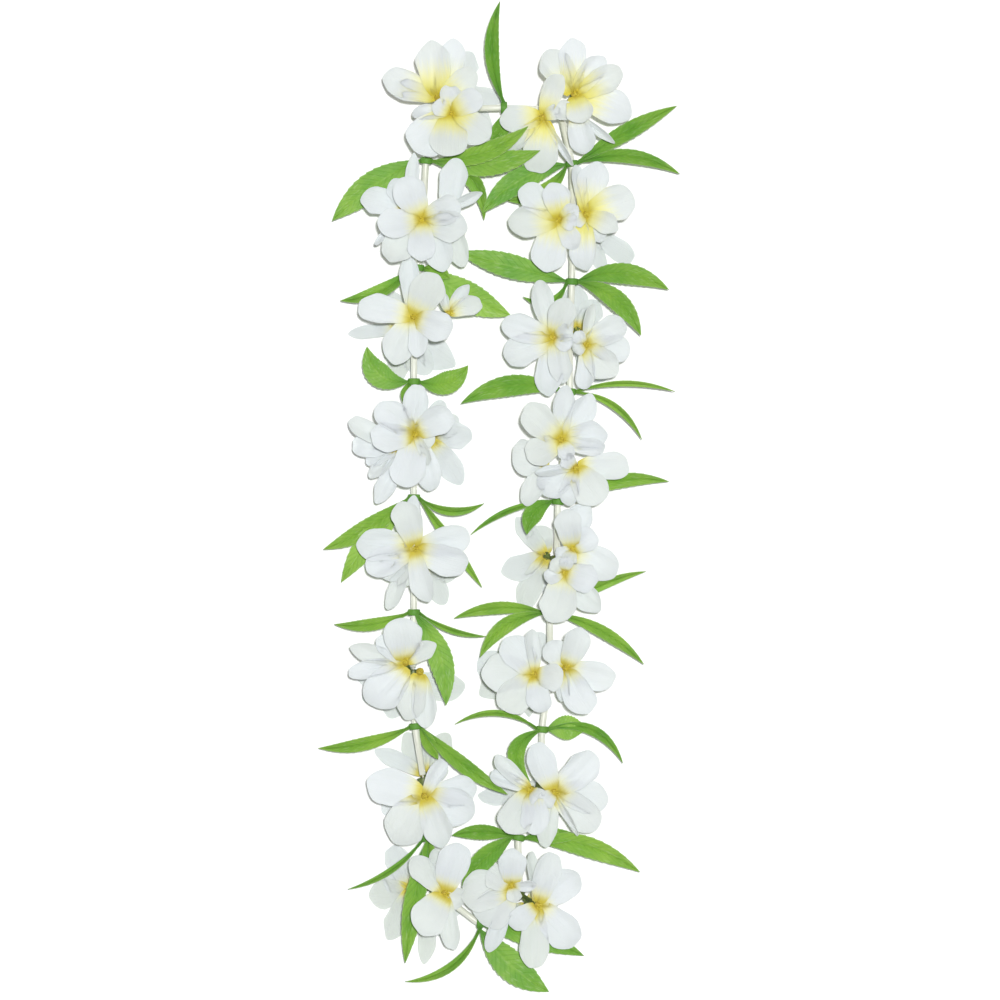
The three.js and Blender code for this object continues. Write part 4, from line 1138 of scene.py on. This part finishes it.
def mottle_group():
    """Soft uneven patches of tone."""
    tree, given = new_tree("soft patches", "Shader", [
        ("Place", "Vector", None), ("Patches per Metre", "Float", None)], "Value", "Float")
    noise = add_node(tree, "ShaderNodeTexNoise", {
        "Vector": given["Place"], "Scale": given["Patches per Metre"], "Detail": 3.0, "Roughness": 0.55})
    add_node(tree, "NodeGroupOutput", {0: ramp(tree, noise.outputs["Fac"], 0.3, 0.7)})
    return tree


def use(tree, group, **inputs):
    """What a group gives for these inputs, whose names have _ for a space."""
    named = {name.replace("_", " "): value for name, value in inputs.items()}
    return add_node(tree, "ShaderNodeGroup", named, node_tree=group).outputs[0]


def mask(tree, name):
    return add_node(tree, "ShaderNodeAttribute", attribute_name=name).outputs["Fac"]


def new_material(name, constants):
    """A material whose shader has these values all over it."""
    material = bpy.data.materials.new(name)
    material.use_nodes = True
    tree = material.node_tree
    shader = tree.nodes["Principled BSDF"]
    for socket, value in constants.items():
        shader.inputs[socket].default_value = value
    return material, tree, shader


def in_patches(tree, groups, place, rate, a, b):
    """Two colours in soft patches, so many to the metre. Gives the colour and the patches."""
    patches = use(tree, groups["mottle"], Place=place, Patches_per_Metre=rate)
    return mixed(tree, patches, a, b), patches


def bump(tree, shader, height, depth, strength, after=None):
    """Relief on a material: gives its normals, which a coarser relief goes on after."""
    inputs = {"Height": height, "Distance": depth * MM, "Strength": strength}
    if after is not None:
        inputs["Normal"] = after
    node = add_node(tree, "ShaderNodeBump", inputs)
    tree.links.new(node.outputs[0], shader.inputs["Normal"])
    return node.outputs[0]


def petal_material(groups):
    """White fabric, a little see-through, with a yellow throat and fine veins along each petal, and with
    painted shade over the petals and along their rims.
    """
    material, tree, shader = new_material("petal fabric", {
        "Roughness": 0.72, "Subsurface Weight": 0.4, "Subsurface Scale": 0.002, "Sheen Weight": 0.15,
        "Subsurface Radius": (1.0, 1.0, 0.9), "Specular IOR Level": 0.25})
    coordinates = add_node(tree, "ShaderNodeTexCoord").outputs
    tone = mask(tree, "tone")
    streaks = use(tree, groups["streaks"], Place=coordinates["UV"], Streaks=34.0, Length=1.6,
                  Shift=maths(tree, "MULTIPLY", tone, TONE_SHIFT))
    patches = use(tree, groups["mottle"], Place=coordinates["Object"], Patches_per_Metre=PETAL_PATCHES)
    # Painted shade: each petal is mixed towards the shaded copy of its white, at random by its tone and in
    # soft patches, and more on the back petals, which lie under the front flowers.
    shade = ramp(tree, tone, 0.3, 1.0, 0.0, PETAL_TONE_SHADE)
    shade = maths(tree, "MULTIPLY_ADD", mask(tree, "behind"), PETAL_BEHIND_SHADE, shade)
    shade = maths(tree, "ADD", shade, maths(tree, "MULTIPLY", patches, PETAL_PATCH_SHADE), clamp=True)
    white = mixed(tree, shade, PETAL_WHITE, PETAL_SHADED)
    white = mixed(tree, ramp(tree, streaks, 0.5, 0.75, 0.0, PETAL_VEIN_SHADE), white, PETAL_VEIN)
    along = split(tree, coordinates["UV"])["Y"]
    ragged = maths(tree, "MULTIPLY_ADD", streaks, 0.5, 0.75)
    reach = maths(tree, "MULTIPLY", mask(tree, "throat_reach"), ragged)
    near = maths(tree, "SUBTRACT", 1.0, maths(tree, "DIVIDE", along, reach), clamp=True)
    strength = mask(tree, "throat_strength")
    pale = maths(tree, "MULTIPLY", ramp(tree, near, 0.0, 0.7), strength)
    colour = mixed(tree, pale, white, THROAT_PALE)
    deep = maths(tree, "MULTIPLY", ramp(tree, near, 0.25, 1.0), strength)
    colour = mixed(tree, deep, colour, THROAT_DEEP)
    core = ramp(tree, maths(tree, "MULTIPLY", along, ragged), 0.08, 0.24, THROAT_GOLD_SHARE, 0.0)
    colour = mixed(tree, core, colour, THROAT_GOLD)
    # Painted shadow along each petal's rim, partly the fabric's thin edge and partly the shade where petals
    # overlap.
    rim = ramp(tree, mask(tree, "rim"), 0.9, 1.0, 0.0, PETAL_RIM_SHADE)
    colour = mixed(tree, rim, colour, PETAL_RIM_AND_SHADOW)
    tree.links.new(colour, shader.inputs["Base Color"])
    threads = use(tree, groups["weave"], Place=coordinates["Object"], Threads_per_Metre=PETAL_THREADS)
    fine = bump(tree, shader, threads, PETAL_THREAD_DEPTH, 0.6)
    bump(tree, shader, streaks, PETAL_STREAK_DEPTH, 0.6, fine)
    return material


def leaf_material(groups):
    """Green fabric with pressed veins, a pale edge, painted shade at the root and painted sheen in flecks
    towards the tip.
    """
    material, tree, shader = new_material("leaf fabric", {
        "Roughness": 0.55, "Subsurface Weight": 0.1, "Subsurface Scale": 0.001, "Specular IOR Level": 0.25,
        "Subsurface Radius": (0.6, 1.0, 0.3)})
    coordinates = add_node(tree, "ShaderNodeTexCoord").outputs
    place = split(tree, coordinates["UV"])
    tone = mask(tree, "tone")
    across = maths(tree, "ABSOLUTE", maths(tree, "MULTIPLY_ADD", place["X"], 2.0, -1.0))
    along = place["Y"]
    slanted = maths(tree, "MULTIPLY_ADD", across, -VEIN_SLANT, maths(tree, "MULTIPLY", along, LEAF_TEETH))
    vein = ramp(tree, maths(tree, "PINGPONG", slanted, 0.5), 0.03, 0.2, 1.0, 0.0)
    rib = ramp(tree, across, 0.03, 0.1, 1.0, 0.0)
    patches = use(tree, groups["mottle"], Place=coordinates["Object"], Patches_per_Metre=LEAF_PATCHES)
    streaks = use(tree, groups["streaks"], Place=coordinates["UV"], Streaks=14.0, Length=12.0,
                  Shift=maths(tree, "MULTIPLY", tone, TONE_SHIFT))
    light = maths(tree, "MULTIPLY", tone, LEAF_TONE_LIGHT)
    light = maths(tree, "MULTIPLY_ADD", patches, LEAF_PATCH_LIGHT, light)
    green = mixed(tree, light, LEAF_GREEN, LEAF_LIGHT)
    # Painted shade: darker green towards the root.
    green = mixed(tree, ramp(tree, along, 0.0, 0.35, LEAF_ROOT_SHADE, 0.0), green, LEAF_DARK)
    green = mixed(tree, maths(tree, "MULTIPLY", vein, LEAF_VEIN_SHADE), green, LEAF_DARK)
    green = mixed(tree, maths(tree, "MULTIPLY", rib, LEAF_RIB_LIGHT), green, LEAF_LIGHT)
    edge = ramp(tree, across, 0.85, 1.0, 0.0, LEAF_EDGE_PALE)
    edge = maths(tree, "MULTIPLY", edge, ramp(tree, along, 0.02, 0.15))
    green = mixed(tree, edge, green, LEAF_PALE_EDGE_AND_SHEEN)
    # Painted sheen: pale flecks, growing towards the tip, stand for the shine on the leaf.
    sheen_flecks = ramp(tree, along, 0.2, 0.9, *LEAF_SHEEN_FLECKS)
    sheen_flecks = maths(tree, "MULTIPLY", ramp(tree, streaks, 0.5, 0.75), sheen_flecks)
    green = mixed(tree, sheen_flecks, green, LEAF_PALE_EDGE_AND_SHEEN)
    tree.links.new(green, shader.inputs["Base Color"])
    threads = use(tree, groups["weave"], Place=coordinates["Object"], Threads_per_Metre=LEAF_THREADS)
    fine = bump(tree, shader, threads, LEAF_THREAD_DEPTH, 0.5)
    bump(tree, shader, vein, -LEAF_VEIN_DEPTH, 0.5, fine)
    return material


def tube_material(groups):
    """Milky plastic tube."""
    material, tree, shader = new_material("milky tube", {
        "Roughness": 0.32, "Transmission Weight": 0.2, "IOR": 1.45})
    place = add_node(tree, "ShaderNodeTexCoord").outputs["Object"]
    colour, _ = in_patches(tree, groups, place, TUBE_PATCHES, TUBE_MILKY, TUBE_CLOUDY)
    tree.links.new(colour, shader.inputs["Base Color"])
    return material


def cord_material(groups):
    """Cream cotton cord."""
    material, tree, shader = new_material("cream cord", {"Roughness": 0.85})
    place = add_node(tree, "ShaderNodeTexCoord").outputs["Object"]
    colour, _ = in_patches(tree, groups, place, CORD_PATCHES, CORD_CREAM, CORD_SHADED)
    tree.links.new(colour, shader.inputs["Base Color"])
    threads = use(tree, groups["weave"], Place=place, Threads_per_Metre=CORD_THREADS)
    bump(tree, shader, threads, CORD_THREAD_DEPTH, 0.8)
    return material


def hub_material(groups):
    """Dark olive green moulded plastic."""
    material, tree, shader = new_material("hub plastic", {"Roughness": 0.45})
    place = add_node(tree, "ShaderNodeTexCoord").outputs["Object"]
    colour, patches = in_patches(tree, groups, place, HUB_PATCHES, HUB_GREEN, HUB_LIGHT)
    tree.links.new(colour, shader.inputs["Base Color"])
    bump(tree, shader, patches, HUB_PATCH_DEPTH, 0.5)
    return material


def eye_material(groups):
    """Gold stamens, amber at the root."""
    material, tree, shader = new_material("gold stamens", {"Roughness": 0.55})
    place = add_node(tree, "ShaderNodeTexCoord").outputs["Object"]
    gold, _ = in_patches(tree, groups, place, EYE_PATCHES, EYE_GOLD, EYE_YELLOW)
    amber = ramp(tree, mask(tree, "tip"), 0.0, 0.9, EYE_ROOT_AMBER, 0.0)
    colour = mixed(tree, amber, gold, EYE_AMBER)
    tree.links.new(colour, shader.inputs["Base Color"])
    return material


def floor_stage():
    """A plain pale floor."""
    data = bpy.data.meshes.new("floor")
    size = FLOOR_SIZE / 2
    data.from_pydata([(-size, -size, 0), (size, -size, 0), (size, size, 0), (-size, size, 0)],
                     [], [(0, 1, 2, 3)])
    look = {"Roughness": 0.9, "Specular IOR Level": 0.1, "Base Color": FLOOR_WHITE,
            "Emission Color": FLOOR_WHITE, "Emission Strength": FLOOR_GLOW}
    material, _, _ = new_material("pale floor", look)
    data.materials.append(material)
    linked("floor", data)


def key_light():
    data = bpy.data.lights.new("key light", "AREA")
    data.shape = "DISK"
    data.size = KEY_SIZE
    data.energy = KEY_POWER
    lamp = linked("key light", data)
    lamp.location = KEY_PLACE
    lamp.rotation_euler = (-Vector(KEY_PLACE)).to_track_quat("-Z", "Y").to_euler()


def studio():
    world = bpy.data.worlds.new("studio")
    world.use_nodes = True
    background = world.node_tree.nodes["Background"]
    background.inputs["Color"].default_value = (1, 1, 1, 1)
    background.inputs["Strength"].default_value = WORLD_LIGHT
    bpy.context.scene.world = world
    bpy.context.scene.view_settings.view_transform = "Standard"


def camera_above():
    data = bpy.data.cameras.new("camera")
    data.lens = CAMERA_LENS
    data.sensor_width = CAMERA_SENSOR
    data.clip_end = CAMERA_FAR
    camera = linked("camera", data)
    distance = VIEW_WIDTH * CAMERA_LENS / CAMERA_SENSOR
    camera.location = (0, VIEW_CENTRE_Y, VIEW_HEIGHT + distance)
    bpy.context.scene.camera = camera


def lei():
    groups = {"weave": weave_group(), "streaks": streak_group(), "mottle": mottle_group()}
    petal, leaf, tube = petal_material(groups), leaf_material(groups), tube_material(groups)
    cream, green, gold = cord_material(groups), hub_material(groups), eye_material(groups)
    stamens = stamen_tree()
    draw = random.Random(SEED)
    for i, name in enumerate(HUB_NAMES):
        cluster = f"flower_cluster_{name}"
        dress(flower_petals(name, petal, draw), cluster)
        dress(flower_eyes(name, i, stamens, gold), cluster)
        dress(flower_hub(name, i, green), cluster)
        dress(leaves(name, i, leaf, draw), f"leaf_whorl_{name}")
        dress(spacer_tube(name, i, tube), f"spacer_tube_{name}")
    dress(cord(cord_tree(), cream), "cord")


camera_above()
studio()
key_light()
floor_stage()
lei()
